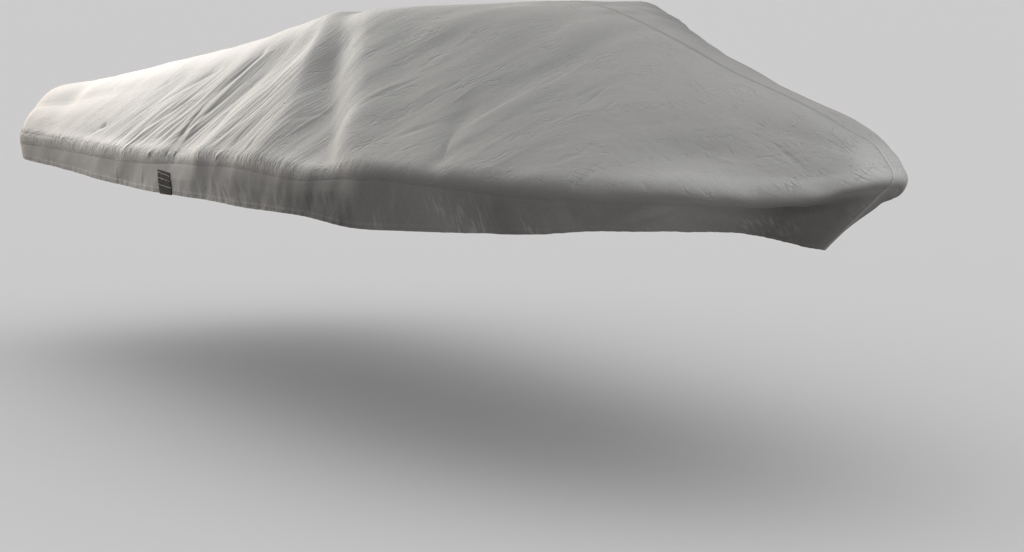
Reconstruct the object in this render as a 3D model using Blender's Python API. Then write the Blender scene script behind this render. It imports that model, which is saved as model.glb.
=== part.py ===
"""A fitted storage cover for a small motor boat, in the shape in which it hangs over the boat.

Units are metres, +Z up, +X towards the bow and +Y to port. The tables give places on the boat: x forward of
the boat's datum and z above the ground it is parked on. The part's origin is the point under the top where
the cover rests on the boat's windshield frame, on the centreline, so every place is shifted by REST.

The sheet is described by ribs. Each rib is one line of cloth that starts at the centreline, crosses the roof
to the shoulder, falls to the gunwale, turns over it and ends at the hem. RIBS starts at the middle of the
stern, goes round the stern corner, forward along the side and round the bow to the stem.
"""
import bmesh
import bpy
import numpy as np

# Cloth and seams
CLOTH = 0.002  # thickness of a cloth panel
SEAM_GAP = 0.0003  # clearance between neighbouring pieces
LAP = 0.014  # how far the top hangs down outside the head of the skirt
REST = np.array([2.20, 0.0, 1.718])  # rest point on the windshield frame, in the boat's places

# How finely a rib and the girth are divided, and how much of a run a turn at its end may take up
RIB_COUNT = 58
ROOF_STEPS = 3
SHOULDER_STEPS = 3
SIDE_STEPS = 5
GUNWALE_STEPS = 3
SKIRT_STEPS = 3
ROOF_EASE_SHARE = 0.9  # the roof run turns at one end only
EASE_SHARE = 0.45
SHARP_EDGE = np.radians(40)

# One row for each rib. centre, shoulder, gunwale and hem are the corners that the cloth turns over, half
# breadths are measured from the centreline, shoulder_ease and gunwale_ease are how far before and after its
# corner the cloth starts to turn, and crown is how far the run between them stands out of a straight line.
RIB_COLUMNS = (
    "centre_x", "centre_z", "shoulder_x", "shoulder_half", "shoulder_z", "shoulder_ease",
    "gunwale_x", "gunwale_half", "gunwale_z", "gunwale_ease", "hem_x", "hem_half", "hem_z", "crown",
)
RIBS = np.array([
    (-0.95, 1.340, -1.44, 0.000, 1.245, 0.12, -1.560, 0.000, 0.990, 0.03, -1.560, 0.000, 0.880, 0.010),
    (-0.93, 1.340, -1.44, 0.420, 1.240, 0.12, -1.560, 0.500, 0.990, 0.03, -1.560, 0.490, 0.880, 0.010),
    (-0.89, 1.345, -1.45, 0.700, 1.225, 0.12, -1.550, 0.830, 0.988, 0.03, -1.550, 0.820, 0.880, 0.010),
    (-0.83, 1.350, -1.43, 0.805, 1.220, 0.12, -1.500, 0.925, 0.985, 0.03, -1.500, 0.905, 0.880, 0.010),
    (-0.74, 1.365, -1.26, 0.825, 1.235, 0.12, -1.360, 0.952, 0.990, 0.02, -1.360, 0.928, 0.880, 0.025),
    (-0.45, 1.400, -0.65, 0.800, 1.315, 0.12, -0.800, 0.957, 1.000, 0.02, -0.800, 0.940, 0.877, 0.020),
    (0.05, 1.480, -0.02, 0.780, 1.410, 0.12, -0.100, 0.966, 1.010, 0.02, -0.100, 0.950, 0.868, 0.010),
    (0.60, 1.570, 0.60, 0.745, 1.507, 0.12, 0.550, 0.974, 1.050, 0.02, 0.550, 0.955, 0.880, 0.000),
    (1.19, 1.650, 1.19, 0.690, 1.627, 0.10, 1.150, 0.978, 1.082, 0.02, 1.150, 0.955, 0.888, 0.000),
    (1.67, 1.700, 1.66, 0.625, 1.687, 0.08, 1.680, 0.978, 1.090, 0.03, 1.700, 0.950, 0.906, 0.000),
    (1.98, 1.715, 1.98, 0.480, 1.705, 0.12, 2.080, 0.955, 1.125, 0.03, 2.100, 0.915, 0.900, 0.000),
    (2.20, 1.720, 2.24, 0.340, 1.710, 0.16, 2.400, 0.912, 1.147, 0.04, 2.430, 0.845, 0.915, 0.000),
    (2.42, 1.700, 2.48, 0.200, 1.698, 0.20, 2.720, 0.842, 1.150, 0.05, 2.740, 0.752, 0.933, 0.000),
    (2.66, 1.655, 2.72, 0.140, 1.648, 0.20, 3.020, 0.752, 1.148, 0.06, 2.990, 0.650, 0.952, 0.000),
    (2.94, 1.590, 3.00, 0.120, 1.580, 0.20, 3.320, 0.635, 1.150, 0.07, 3.240, 0.525, 0.977, 0.000),
    (3.25, 1.512, 3.32, 0.115, 1.500, 0.18, 3.600, 0.470, 1.148, 0.08, 3.440, 0.385, 0.990, 0.000),
    (3.54, 1.455, 3.62, 0.105, 1.446, 0.14, 3.840, 0.305, 1.135, 0.08, 3.600, 0.225, 0.995, 0.010),
    (3.76, 1.407, 3.86, 0.095, 1.398, 0.10, 4.030, 0.190, 1.160, 0.06, 3.700, 0.120, 0.974, 0.015),
    (3.90, 1.370, 4.02, 0.070, 1.350, 0.08, 4.155, 0.108, 1.205, 0.05, 3.770, 0.045, 0.952, 0.005),
    (3.98, 1.346, 4.10, 0.000, 1.326, 0.06, 4.225, 0.000, 1.222, 0.05, 3.820, 0.000, 0.943, 0.000),
])
RIB = dict(zip(RIB_COLUMNS, RIBS.T))

# One row for each main fold of the top: side is -1 to starboard and +1 to port, the fold runs straight from
# its head to its foot in plan, and height is above the smooth sheet, or below it where negative.
FOLD_COLUMNS = ("side", "head_x", "head_half", "foot_x", "foot_half", "half_width", "height")
FOLDS = np.array([
    (-1, 1.32, 0.74, 0.50, 0.96, 0.050, -0.020),
    (-1, 1.47, 0.70, 0.80, 0.97, 0.060, 0.014),
    (-1, 2.52, 0.70, 2.60, 0.84, 0.050, -0.007),
    (-1, 2.52, 0.69, 2.72, 0.28, 0.080, -0.006),
    (1, 1.24, 0.74, 0.64, 0.97, 0.060, -0.017),
    (1, 1.52, 0.68, 1.26, 0.96, 0.080, -0.018),
    (1, 1.72, 0.65, 1.94, 0.95, 0.080, 0.016),
    (1, 2.30, 0.50, 2.74, 0.80, 0.090, -0.008),
    (1, 2.90, 0.30, 3.36, 0.52, 0.080, -0.007),
])
FOLD_FADE = 0.12  # length over which a fold fades out past its ends
SKIRT_FOLD_SHARE = 0.35  # how much of a main fold is left on the skirt
SEAM_CALM = 0.10  # half breadth within which the centre seam keeps the sheet free of folds

# The starboard cloth swells before the windshield's post, sinks, and rises again onto the post. One row for
# each height up the cloth from the gunwale, with the girth and lift of the swelling's crest, of the trough
# and of the ridge on the post.
WINDSHIELD_FOLD = np.array([
    (-0.09, 3.80, 0.000, 4.42, 0.000, 4.64, 0.000),
    (0.00, 3.80, 0.009, 4.38, -0.018, 4.60, 0.010),
    (0.06, 3.80, 0.018, 4.32, -0.028, 4.55, 0.019),
    (0.14, 3.82, 0.024, 4.24, -0.036, 4.50, 0.024),
    (0.20, 3.84, 0.024, 4.19, -0.038, 4.46, 0.024),
    (0.27, 3.87, 0.022, 4.12, -0.039, 4.43, 0.025),
    (0.39, 3.85, 0.020, 4.03, -0.036, 4.37, 0.024),
    (0.51, 3.83, 0.018, 3.99, -0.024, 4.26, 0.019),
    (0.60, 3.79, 0.016, 3.96, -0.015, 4.20, 0.012),
    (0.69, 3.75, 0.014, 3.94, -0.008, 4.14, 0.005),
    (0.80, 3.72, 0.008, 3.92, -0.002, 4.12, 0.001),
    (0.95, 3.70, 0.000, 3.90, 0.000, 4.10, 0.000),
])
WINDSHIELD_FOLD_ENDS = (0.31, 0.28)  # how far it runs out aft of the crest and forward of the ridge

# The skirt sways in and out along its length; it is still at its head and sways most at the hem. Two waves
# add up, each with a number of half waves to a metre of girth, and the second is the weaker one.
SKIRT_SWAY = 0.005
SWAY_HALF_WAVES = {"starboard": (2.3, 4.1), "port": (2.9, 3.7)}
SECOND_SWAY = 0.6

# Dark webbing patch sewn on each side's skirt, where a tie-down strap is fastened
STRAP_X = 0.38
STRAP_WIDTH = 0.124
STRAP_HEAD = 0.34  # share of the skirt's depth above the patch
STRAP_THICK = 0.002
STRAP_DROP = 0.004  # how far the patch reaches below the hem
STRAP_SEAT = 0.0010  # clearance to the skirt, whose facets are not quite flat

CLOTH_COLOUR = (0.30, 0.29, 0.27, 1.0)
WEBBING_COLOUR = (0.015, 0.017, 0.016, 1.0)


def unit(vectors):
    return vectors / np.linalg.norm(vectors, axis=-1, keepdims=True)


def smooth_column(places, values, wanted):
    """Cubic through the table's values that never overshoots them."""
    spans = np.diff(places)
    slopes = np.diff(values) / spans
    tangents = np.zeros_like(values)
    tangents[0], tangents[-1] = slopes[0], slopes[-1]
    for k in range(1, len(values) - 1):
        if slopes[k - 1] * slopes[k] > 0:
            before = 2 * spans[k] + spans[k - 1]
            after = spans[k] + 2 * spans[k - 1]
            tangents[k] = (before + after) / (before / slopes[k - 1] + after / slopes[k])
    k = np.clip(np.searchsorted(places, wanted) - 1, 0, len(spans) - 1)
    t = (wanted - places[k]) / spans[k]
    return ((1 + 2 * t) * (1 - t) ** 2 * values[k] + t * (1 - t) ** 2 * spans[k] * tangents[k]
            + t * t * (3 - 2 * t) * values[k + 1] + t * t * (t - 1) * spans[k] * tangents[k + 1])


def straight(start, end, steps):
    return start + (end - start) * np.linspace(0, 1, steps + 1)[:, None]


def turn(start, corner, end, steps):
    t = np.linspace(0, 1, steps + 1)[:, None]
    return (1 - t) ** 2 * start + 2 * t * (1 - t) * corner + t * t * end


def rib_line(row):
    """Points of one starboard rib from the centreline to the hem, and the row where the skirt starts."""
    centre = np.array([row["centre_x"], 0.0, row["centre_z"]])
    shoulder, gunwale, hem = (
        np.array([row[name + "_x"], -row[name + "_half"], row[name + "_z"]])
        for name in ("shoulder", "gunwale", "hem")
    )
    roof, side, skirt = shoulder - centre, gunwale - shoulder, hem - gunwale
    lengths = [np.linalg.norm(run) for run in (roof, side, skirt)]
    roof_ease = min(row["shoulder_ease"], ROOF_EASE_SHARE * lengths[0])
    side_ease = min(row["shoulder_ease"], EASE_SHARE * lengths[1])
    gunwale_ease = min(row["gunwale_ease"], EASE_SHARE * lengths[1], EASE_SHARE * lengths[2])
    roof, side, skirt = unit(roof), unit(side), unit(skirt)
    roof_end = shoulder - roof_ease * roof
    side_start = shoulder + side_ease * side
    side_end = gunwale - gunwale_ease * side
    skirt_start = gunwale + gunwale_ease * skirt
    fall = np.linspace(0, 1, SIDE_STEPS + 1)[:, None]
    level = unit(side * (1, 1, 0))
    outward = level * abs(side[2]) + np.array([0, 0, np.hypot(side[0], side[1])])
    side_run = straight(side_start, side_end, SIDE_STEPS) + outward * row["crown"] * 4 * fall * (1 - fall)
    lap_end = skirt_start + LAP * skirt
    return np.vstack([
        straight(centre, roof_end, ROOF_STEPS),
        turn(roof_end, shoulder, side_start, SHOULDER_STEPS)[1:],
        side_run[1:],
        turn(side_end, gunwale, skirt_start, GUNWALE_STEPS)[1:],
        straight(lap_end, hem, SKIRT_STEPS),
    ])


SKIRT_HEAD = ROOF_STEPS + SHOULDER_STEPS + SIDE_STEPS + GUNWALE_STEPS  # row where the skirt starts
LAP_ROW = SKIRT_HEAD + 1  # row where the top ends


def fold_height(points, side):
    """Height of the main folds at points of one side's sheet."""
    height = np.zeros(points.shape[:-1])
    half = np.abs(points[..., 1])
    for fold in (dict(zip(FOLD_COLUMNS, row)) for row in FOLDS if row[0] == side):
        head = np.array([fold["head_x"], fold["head_half"]])
        run = np.array([fold["foot_x"], fold["foot_half"]]) - head
        length = np.linalg.norm(run)
        run = run / length
        from_head = np.stack([points[..., 0], half], -1) - head
        along = from_head @ run
        across = from_head[..., 0] * run[1] - from_head[..., 1] * run[0]
        past_end = np.maximum(np.maximum(-along, along - length), 0)
        height += fold["height"] * np.exp(-(across / fold["half_width"]) ** 2 - (past_end / FOLD_FADE) ** 2)
    return height * np.minimum(half / SEAM_CALM, 1)


def windshield_fold(girth, height):
    """Height of the large fold beside the windshield's post at points of the starboard cloth."""
    heights, *columns = WINDSHIELD_FOLD.T
    fine = np.linspace(heights[0], heights[-1], 80)
    columns = [np.interp(height, fine, smooth_column(heights, column, fine)) for column in columns]
    girths = [columns[0] - WINDSHIELD_FOLD_ENDS[0], *columns[::2], columns[4] + WINDSHIELD_FOLD_ENDS[1]]
    lifts = [0, *columns[1::2], 0]
    total = np.zeros(girth.shape)
    for start, end, low, high in zip(girths, girths[1:], lifts, lifts[1:]):
        share = np.clip((girth - start) / (end - start), 0, 1)
        share = share * share * (3 - 2 * share)
        total += np.where((girth >= start) & (girth < end), low + (high - low) * share, 0)
    return total


def height_up_cloth(grid):
    """Length of cloth from the middle of the gunwale's turn up to each point, negative below it."""
    steps = np.linalg.norm(np.diff(grid, axis=1), axis=2)
    down = np.concatenate([np.zeros((len(grid), 1)), np.cumsum(steps, axis=1)], axis=1)
    middle = (down[:, SKIRT_HEAD - GUNWALE_STEPS] + down[:, SKIRT_HEAD]) / 2
    return middle[:, None] - down


def sheet_normals(grid):
    """Inward normals of a starboard sheet, kept in the centre plane along the centre seam."""
    girth = np.gradient(grid, axis=0)
    across = np.gradient(grid, axis=1)
    crossed = np.cross(girth, across)
    for end in (0, -1):  # the first and last rib run along the centreline, so their heads borrow a normal
        crossed[end, 0] = crossed[end, 1]
    normals = unit(crossed)
    for edge in (normals[:, 0], normals[0], normals[-1]):
        edge[:, 1] = 0
        edge[:] = unit(edge)
    return normals


def side_sheet(side_name):
    """Outer surface of one side and its outward normals, as grids of ribs by rows."""
    side = {"starboard": -1, "port": 1}[side_name]
    steps = np.hypot(np.diff(RIB["gunwale_x"]), np.diff(RIB["gunwale_half"]))
    places = np.concatenate([[0], np.cumsum(steps)])
    girth = np.linspace(0, places[-1], RIB_COUNT)
    columns = {name: smooth_column(places, RIB[name], girth) for name in RIB_COLUMNS}
    grid = np.array([rib_line({name: columns[name][k] for name in RIB_COLUMNS}) for k in range(RIB_COUNT)])
    normals = -sheet_normals(grid)
    rows = np.arange(grid.shape[1])
    fold_share = np.interp(rows, (SKIRT_HEAD - GUNWALE_STEPS, LAP_ROW + 1), (1, SKIRT_FOLD_SHARE))
    folds = fold_height(grid, side) * fold_share
    if side_name == "starboard":
        folds += windshield_fold(np.broadcast_to(girth[:, None], folds.shape), height_up_cloth(grid))
    grid = grid + normals * folds[..., None]
    drop = np.clip(rows - LAP_ROW, 0, None) / SKIRT_STEPS
    first, second = SWAY_HALF_WAVES[side_name]
    sway = np.sin(first * np.pi * girth) + SECOND_SWAY * np.sin(second * np.pi * girth)
    sway = sway * np.sin(np.pi * girth / girth[-1])
    grid = grid + normals * (SKIRT_SWAY * sway[:, None] * drop[None, :])[..., None]
    normals = -sheet_normals(grid)
    mirror = np.array([1, -side, 1])
    return (grid - REST) * mirror, normals * mirror


def keep_off_centre(points, side):
    """Leave half a seam gap between a piece and the centre plane."""
    points = points.copy()
    points[..., 1] = side * np.maximum(side * points[..., 1], SEAM_GAP / 2)
    return points


def closed_shell(name, outer, inner, material):
    """One closed body between two grids of the same shape."""
    rows, columns = outer.shape[:2]
    mesh = bmesh.new()
    skins = [[[mesh.verts.new(skin[i, j]) for j in range(columns)] for i in range(rows)]
             for skin in (outer, inner)]
    for skin in skins:
        for i in range(rows - 1):
            for j in range(columns - 1):
                mesh.faces.new((skin[i][j], skin[i + 1][j], skin[i + 1][j + 1], skin[i][j + 1]))
    rims = [[skin[i][0] for i in range(rows)] + [skin[-1][j] for j in range(1, columns)]
            + [skin[i][-1] for i in range(rows - 2, -1, -1)] + [skin[0][j] for j in range(columns - 2, 0, -1)]
            for skin in skins]
    for k in range(len(rims[0])):
        after = (k + 1) % len(rims[0])
        mesh.faces.new((rims[0][k], rims[0][after], rims[1][after], rims[1][k]))
    bmesh.ops.triangulate(mesh, faces=mesh.faces[:])
    bmesh.ops.recalc_face_normals(mesh, faces=mesh.faces[:])
    data = bpy.data.meshes.new(name)
    mesh.to_mesh(data)
    mesh.free()
    data.materials.append(material)
    data.shade_smooth()
    data.set_sharp_from_angle(angle=SHARP_EDGE)
    piece = bpy.data.objects.new(name, data)
    bpy.context.scene.collection.objects.link(piece)
    return piece


def plain_material(name, colour, roughness):
    material = bpy.data.materials.new(name)
    material.use_nodes = True
    shader = material.node_tree.nodes["Principled BSDF"]
    shader.inputs["Base Color"].default_value = colour
    shader.inputs["Roughness"].default_value = roughness
    shader.inputs["Metallic"].default_value = 0.0
    return material


def make_top(side_name, sheet, normals, material):
    side = {"starboard": -1, "port": 1}[side_name]
    rows = slice(0, LAP_ROW + 1)
    outer = keep_off_centre(sheet[:, rows], side)
    inner = keep_off_centre(sheet[:, rows] - CLOTH * normals[:, rows], side)
    return closed_shell("top_" + side_name, outer, inner, material)


def skirt_skins(side, sheet, normals):
    """Outer and inner skin of the skirt, whose head lies inside the top's lap."""
    rows = slice(SKIRT_HEAD, None)
    depth = CLOTH + SEAM_GAP
    outer = keep_off_centre(sheet[:, rows] - depth * normals[:, rows], side)
    inner = keep_off_centre(sheet[:, rows] - (depth + CLOTH) * normals[:, rows], side)
    return outer, inner


def make_skirt(side_name, sheet, normals, material):
    side = {"starboard": -1, "port": 1}[side_name]
    outer, inner = skirt_skins(side, sheet, normals)
    return closed_shell("skirt_" + side_name, outer, inner, material)


def skin_line(skin, x):
    """Line down the skirt's skin where its head passes x, with the skin's own rows as its points."""
    along = skin[:, 0, 0]
    forward = np.argmax(along > x)
    share = (x - along[forward - 1]) / (along[forward] - along[forward - 1])
    return (1 - share) * skin[forward - 1] + share * skin[forward]


def strap_line(skin, x):
    """The part of a skin line that the patch covers, from its head to a little below the hem."""
    line = skin_line(skin, x)
    reach = np.concatenate([[0], np.cumsum(np.linalg.norm(np.diff(line, axis=0), axis=1))])
    head = STRAP_HEAD * reach[-1]
    stations = np.concatenate([[head], reach[reach > head]])
    points = np.stack([np.interp(stations, reach, line[:, axis]) for axis in range(3)], -1)
    below = points[-1] + STRAP_DROP * unit(points[-1] - points[-2])
    return np.vstack([points, below])


def make_strap(side_name, sheet, normals, material):
    """Flat patch of webbing that lies on the skirt and follows it."""
    side = {"starboard": -1, "port": 1}[side_name]
    skin, _ = skirt_skins(side, sheet, normals)
    start, end = STRAP_X - REST[0] + np.array([-0.5, 0.5]) * STRAP_WIDTH
    heads = skin[:, 0, 0]
    places = np.concatenate([[start], heads[(heads > start) & (heads < end)], [end]])
    lines = np.array([strap_line(skin, x) for x in places])
    outward = unit(np.cross(lines[-1, 0] - lines[0, 0], lines[0, -1] - lines[0, 0]))
    outward = outward * np.sign(outward[1] * side)
    inner = lines + outward * STRAP_SEAT
    return closed_shell("strap_" + side_name, inner + outward * STRAP_THICK, inner, material)


def main():
    for item in list(bpy.data.objects):
        bpy.data.objects.remove(item)
    cloth = plain_material("grey_polyester", CLOTH_COLOUR, 0.9)
    webbing = plain_material("black_webbing", WEBBING_COLOUR, 0.75)
    for side_name in ("starboard", "port"):
        sheet, normals = side_sheet(side_name)
        make_top(side_name, sheet, normals, cloth)
        make_skirt(side_name, sheet, normals, cloth)
        make_strap(side_name, sheet, normals, webbing)


main()
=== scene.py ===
"""Looks of a fitted storage cover for a small motor boat, in the shape in which it hangs over the boat.

Units are metres, +Z up, +X towards the bow and +Y to port. The RIBS and FOLDS tables give places on the
boat, which REST shifts to the origin, the point under the top where the cover rests on the windshield frame.

Cloth is placed by two of its own lengths: girth, along the gunwale from the middle of the stern to the stem,
and height, up the cloth from the gunwale to the centre seam, which is negative on the skirt below it.
"""
from collections import namedtuple
from functools import lru_cache

import bmesh
import bpy
import numpy as np
from bpy.props import FloatProperty, FloatVectorProperty, PointerProperty
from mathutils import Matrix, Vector
from mathutils.bvhtree import BVHTree


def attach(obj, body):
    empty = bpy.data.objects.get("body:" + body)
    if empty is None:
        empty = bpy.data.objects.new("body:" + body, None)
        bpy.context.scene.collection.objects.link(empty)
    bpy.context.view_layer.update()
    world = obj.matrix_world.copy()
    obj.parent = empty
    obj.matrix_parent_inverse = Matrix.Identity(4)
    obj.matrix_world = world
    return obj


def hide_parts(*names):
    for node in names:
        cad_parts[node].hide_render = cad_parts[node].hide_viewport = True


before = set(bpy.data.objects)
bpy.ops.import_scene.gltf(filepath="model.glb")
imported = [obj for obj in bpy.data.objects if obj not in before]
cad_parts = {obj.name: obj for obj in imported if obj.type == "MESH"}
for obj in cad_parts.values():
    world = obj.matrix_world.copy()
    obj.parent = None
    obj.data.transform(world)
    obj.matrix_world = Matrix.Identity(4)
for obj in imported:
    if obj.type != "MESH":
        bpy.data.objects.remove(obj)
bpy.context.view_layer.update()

bl_info = {
    "name": "Boat cover",
    "version": (1, 0, 0),
    "blender": (4, 5, 0),
    "location": "View3D > Sidebar > Boat cover",
    "description": "Builds the cloth, seams, straps and stage of a fitted boat cover",
    "category": "Add Mesh",
}

# ---------------------------------------------------------------------------------------------------------
# Shape of the cover
# ---------------------------------------------------------------------------------------------------------

SEAM_GAP = 0.0003  # clearance between neighbouring pieces
LAP = 0.014  # how far the top hangs down outside the head of the skirt
HEM = 0.022  # depth of the doubled hem
REST = np.array([2.20, 0.0, 1.718])  # rest point on the windshield frame, in the boat's places
ROOF_EASE_SHARE = 0.9  # the roof run turns at one end only
EASE_SHARE = 0.45
CROWN_EASE = 0.06  # share of the side over which its crown dies away
SIDES = {"starboard": -1, "port": 1}

# One row for each rib. centre, shoulder, gunwale and hem are the corners that the cloth turns over, half
# breadths are measured from the centreline, shoulder_ease and gunwale_ease are how far before and after its
# corner the cloth starts to turn, and crown is how far the run between them stands out of a straight line.
RIB_COLUMNS = (
    "centre_x", "centre_z", "shoulder_x", "shoulder_half", "shoulder_z", "shoulder_ease",
    "gunwale_x", "gunwale_half", "gunwale_z", "gunwale_ease", "hem_x", "hem_half", "hem_z", "crown",
)
RIBS = np.array([
    (-0.95, 1.340, -1.44, 0.000, 1.245, 0.12, -1.560, 0.000, 0.990, 0.03, -1.560, 0.000, 0.880, 0.010),
    (-0.93, 1.340, -1.44, 0.420, 1.240, 0.12, -1.560, 0.500, 0.990, 0.03, -1.560, 0.490, 0.880, 0.010),
    (-0.89, 1.345, -1.45, 0.700, 1.225, 0.12, -1.550, 0.830, 0.988, 0.03, -1.550, 0.820, 0.880, 0.010),
    (-0.83, 1.350, -1.43, 0.805, 1.220, 0.12, -1.500, 0.925, 0.985, 0.03, -1.500, 0.905, 0.880, 0.010),
    (-0.74, 1.365, -1.26, 0.825, 1.235, 0.12, -1.360, 0.952, 0.990, 0.02, -1.360, 0.928, 0.880, 0.025),
    (-0.45, 1.400, -0.65, 0.800, 1.315, 0.12, -0.800, 0.957, 1.000, 0.02, -0.800, 0.940, 0.877, 0.020),
    (0.05, 1.480, -0.02, 0.780, 1.410, 0.12, -0.100, 0.966, 1.010, 0.02, -0.100, 0.950, 0.868, 0.010),
    (0.60, 1.570, 0.60, 0.745, 1.507, 0.12, 0.550, 0.974, 1.050, 0.02, 0.550, 0.955, 0.880, 0.000),
    (1.19, 1.650, 1.19, 0.690, 1.627, 0.10, 1.150, 0.978, 1.082, 0.02, 1.150, 0.955, 0.888, 0.000),
    (1.67, 1.700, 1.66, 0.625, 1.687, 0.08, 1.680, 0.978, 1.090, 0.03, 1.700, 0.950, 0.906, 0.000),
    (1.98, 1.715, 1.98, 0.480, 1.705, 0.12, 2.080, 0.955, 1.125, 0.03, 2.100, 0.915, 0.900, 0.000),
    (2.20, 1.720, 2.24, 0.340, 1.710, 0.16, 2.400, 0.912, 1.147, 0.04, 2.430, 0.845, 0.915, 0.000),
    (2.42, 1.700, 2.48, 0.200, 1.698, 0.20, 2.720, 0.842, 1.150, 0.05, 2.740, 0.752, 0.933, 0.000),
    (2.66, 1.655, 2.72, 0.140, 1.648, 0.20, 3.020, 0.752, 1.148, 0.06, 2.990, 0.650, 0.952, 0.000),
    (2.94, 1.590, 3.00, 0.120, 1.580, 0.20, 3.320, 0.635, 1.150, 0.07, 3.240, 0.525, 0.977, 0.000),
    (3.25, 1.512, 3.32, 0.115, 1.500, 0.18, 3.600, 0.470, 1.148, 0.08, 3.440, 0.385, 0.990, 0.000),
    (3.54, 1.455, 3.62, 0.105, 1.446, 0.14, 3.840, 0.305, 1.135, 0.08, 3.600, 0.225, 0.995, 0.010),
    (3.76, 1.407, 3.86, 0.095, 1.398, 0.10, 4.030, 0.190, 1.160, 0.06, 3.700, 0.120, 0.974, 0.015),
    (3.90, 1.370, 4.02, 0.070, 1.350, 0.08, 4.155, 0.108, 1.205, 0.05, 3.770, 0.045, 0.952, 0.005),
    (3.98, 1.346, 4.10, 0.000, 1.326, 0.06, 4.225, 0.000, 1.222, 0.05, 3.820, 0.000, 0.943, 0.000),
])
RIB = dict(zip(RIB_COLUMNS, RIBS.T))
RIB_STEPS = np.hypot(np.diff(RIB["gunwale_x"]), np.diff(RIB["gunwale_half"]))
RIB_GIRTHS = np.concatenate([[0], np.cumsum(RIB_STEPS)])

# One row for each main fold of the top: side is -1 to starboard and +1 to port, the fold runs straight from
# its head to its foot in plan, and height is above the smooth sheet, or below it where negative.
FOLD_COLUMNS = ("side", "head_x", "head_half", "foot_x", "foot_half", "half_width", "height")
FOLDS = np.array([
    (-1, 1.32, 0.74, 0.50, 0.96, 0.050, -0.020),
    (-1, 1.47, 0.70, 0.80, 0.97, 0.060, 0.014),
    (-1, 2.52, 0.70, 2.60, 0.84, 0.050, -0.007),
    (-1, 2.52, 0.69, 2.72, 0.28, 0.080, -0.006),
    (1, 1.24, 0.74, 0.64, 0.97, 0.060, -0.017),
    (1, 1.52, 0.68, 1.26, 0.96, 0.080, -0.018),
    (1, 1.72, 0.65, 1.94, 0.95, 0.080, 0.016),
    (1, 2.30, 0.50, 2.74, 0.80, 0.090, -0.008),
    (1, 2.90, 0.30, 3.36, 0.52, 0.080, -0.007),
])
FOLD_FADE = 0.12  # length over which a fold fades out past its ends
FOLD_SHARE = ((-0.10, 0.15), (0.02, 1.0))  # how much of it is left at two heights, on the skirt and the top
SEAM_CALM = 0.10  # half breadth within which the centre seam keeps the sheet free of folds

# The skirt sways in and out along its length; it is still at its head and sways most at the hem.
SKIRT_SWAY = 0.005
SWAY_HALF_WAVES = {"starboard": (2.3, 4.1), "port": (2.9, 3.7)}
SECOND_SWAY = 0.6

# How finely the cloth is divided. Ribs lie closest where the finest gathers are, and the skirt's and the
# top's inner skins keep one line in INNER_EVERY.
RIB_COUNT = 840
RIB_SPACING = ((0.0, 1.5), (0.9, 1.2), (1.5, 0.8), (4.0, 0.8), (4.6, 1.1), (5.3, 1.3), (7.2, 1.5))
DENSITY_STEPS = 4  # steps for each rib in which the spacing is summed up
ROW_STEPS = {"roof": 20, "shoulder": 8, "side": 60, "gunwale": 12, "lap": 4, "skirt": 20, "hem": 8}
INNER_EVERY = 4

# Above the gunwale the ribs lean forward with the lines of tension: (girth, lean at the shoulder).
RIB_LEAN = np.array([
    (0.0, 0.0), (1.1, 0.0), (2.1, 0.45), (3.0, 0.80), (3.9, 0.62), (5.0, 0.40), (6.3, 0.0), (7.2, 0.0),
])

# The lines of tension rise from stern to bow at these slopes, (girth, slope), and fall again at the bow.
PULL = np.array([
    (0.0, 0.0), (1.0, 0.3), (1.9, 0.53), (3.0, 0.65), (4.1, 1.1), (4.5, 0.7), (5.0, 1.0), (5.4, 0.9),
    (5.65, 0.3), (5.85, -0.4), (6.4, -0.55), (7.2, -0.9),
])


PULL_STEPS = 720  # steps in which the slopes are summed up


def read(table, places):
    """Values of a table of (place, value) rows at other places, straight between its rows."""
    return np.interp(places, *np.transpose(table))


def unit(vectors):
    return vectors / np.linalg.norm(vectors, axis=-1, keepdims=True)


def smooth_column(places, values, wanted):
    """Cubic through the table's values that never overshoots them."""
    spans = np.diff(places)
    slopes = np.diff(values) / spans
    tangents = np.zeros_like(values)
    tangents[0], tangents[-1] = slopes[0], slopes[-1]
    for k in range(1, len(values) - 1):
        if slopes[k - 1] * slopes[k] > 0:
            before = 2 * spans[k] + spans[k - 1]
            after = spans[k] + 2 * spans[k - 1]
            tangents[k] = (before + after) / (before / slopes[k - 1] + after / slopes[k])
    k = np.clip(np.searchsorted(places, wanted) - 1, 0, len(spans) - 1)
    t = (wanted - places[k]) / spans[k]
    return ((1 + 2 * t) * (1 - t) ** 2 * values[k] + t * (1 - t) ** 2 * spans[k] * tangents[k]
            + t * t * (3 - 2 * t) * values[k + 1] + t * t * (t - 1) * spans[k] * tangents[k + 1])


def between(start, end, share):
    return start + (end - start) * share


def turn(start, corner, end, t):
    return (1 - t) ** 2 * start + 2 * t * (1 - t) * corner + t * t * end


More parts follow.
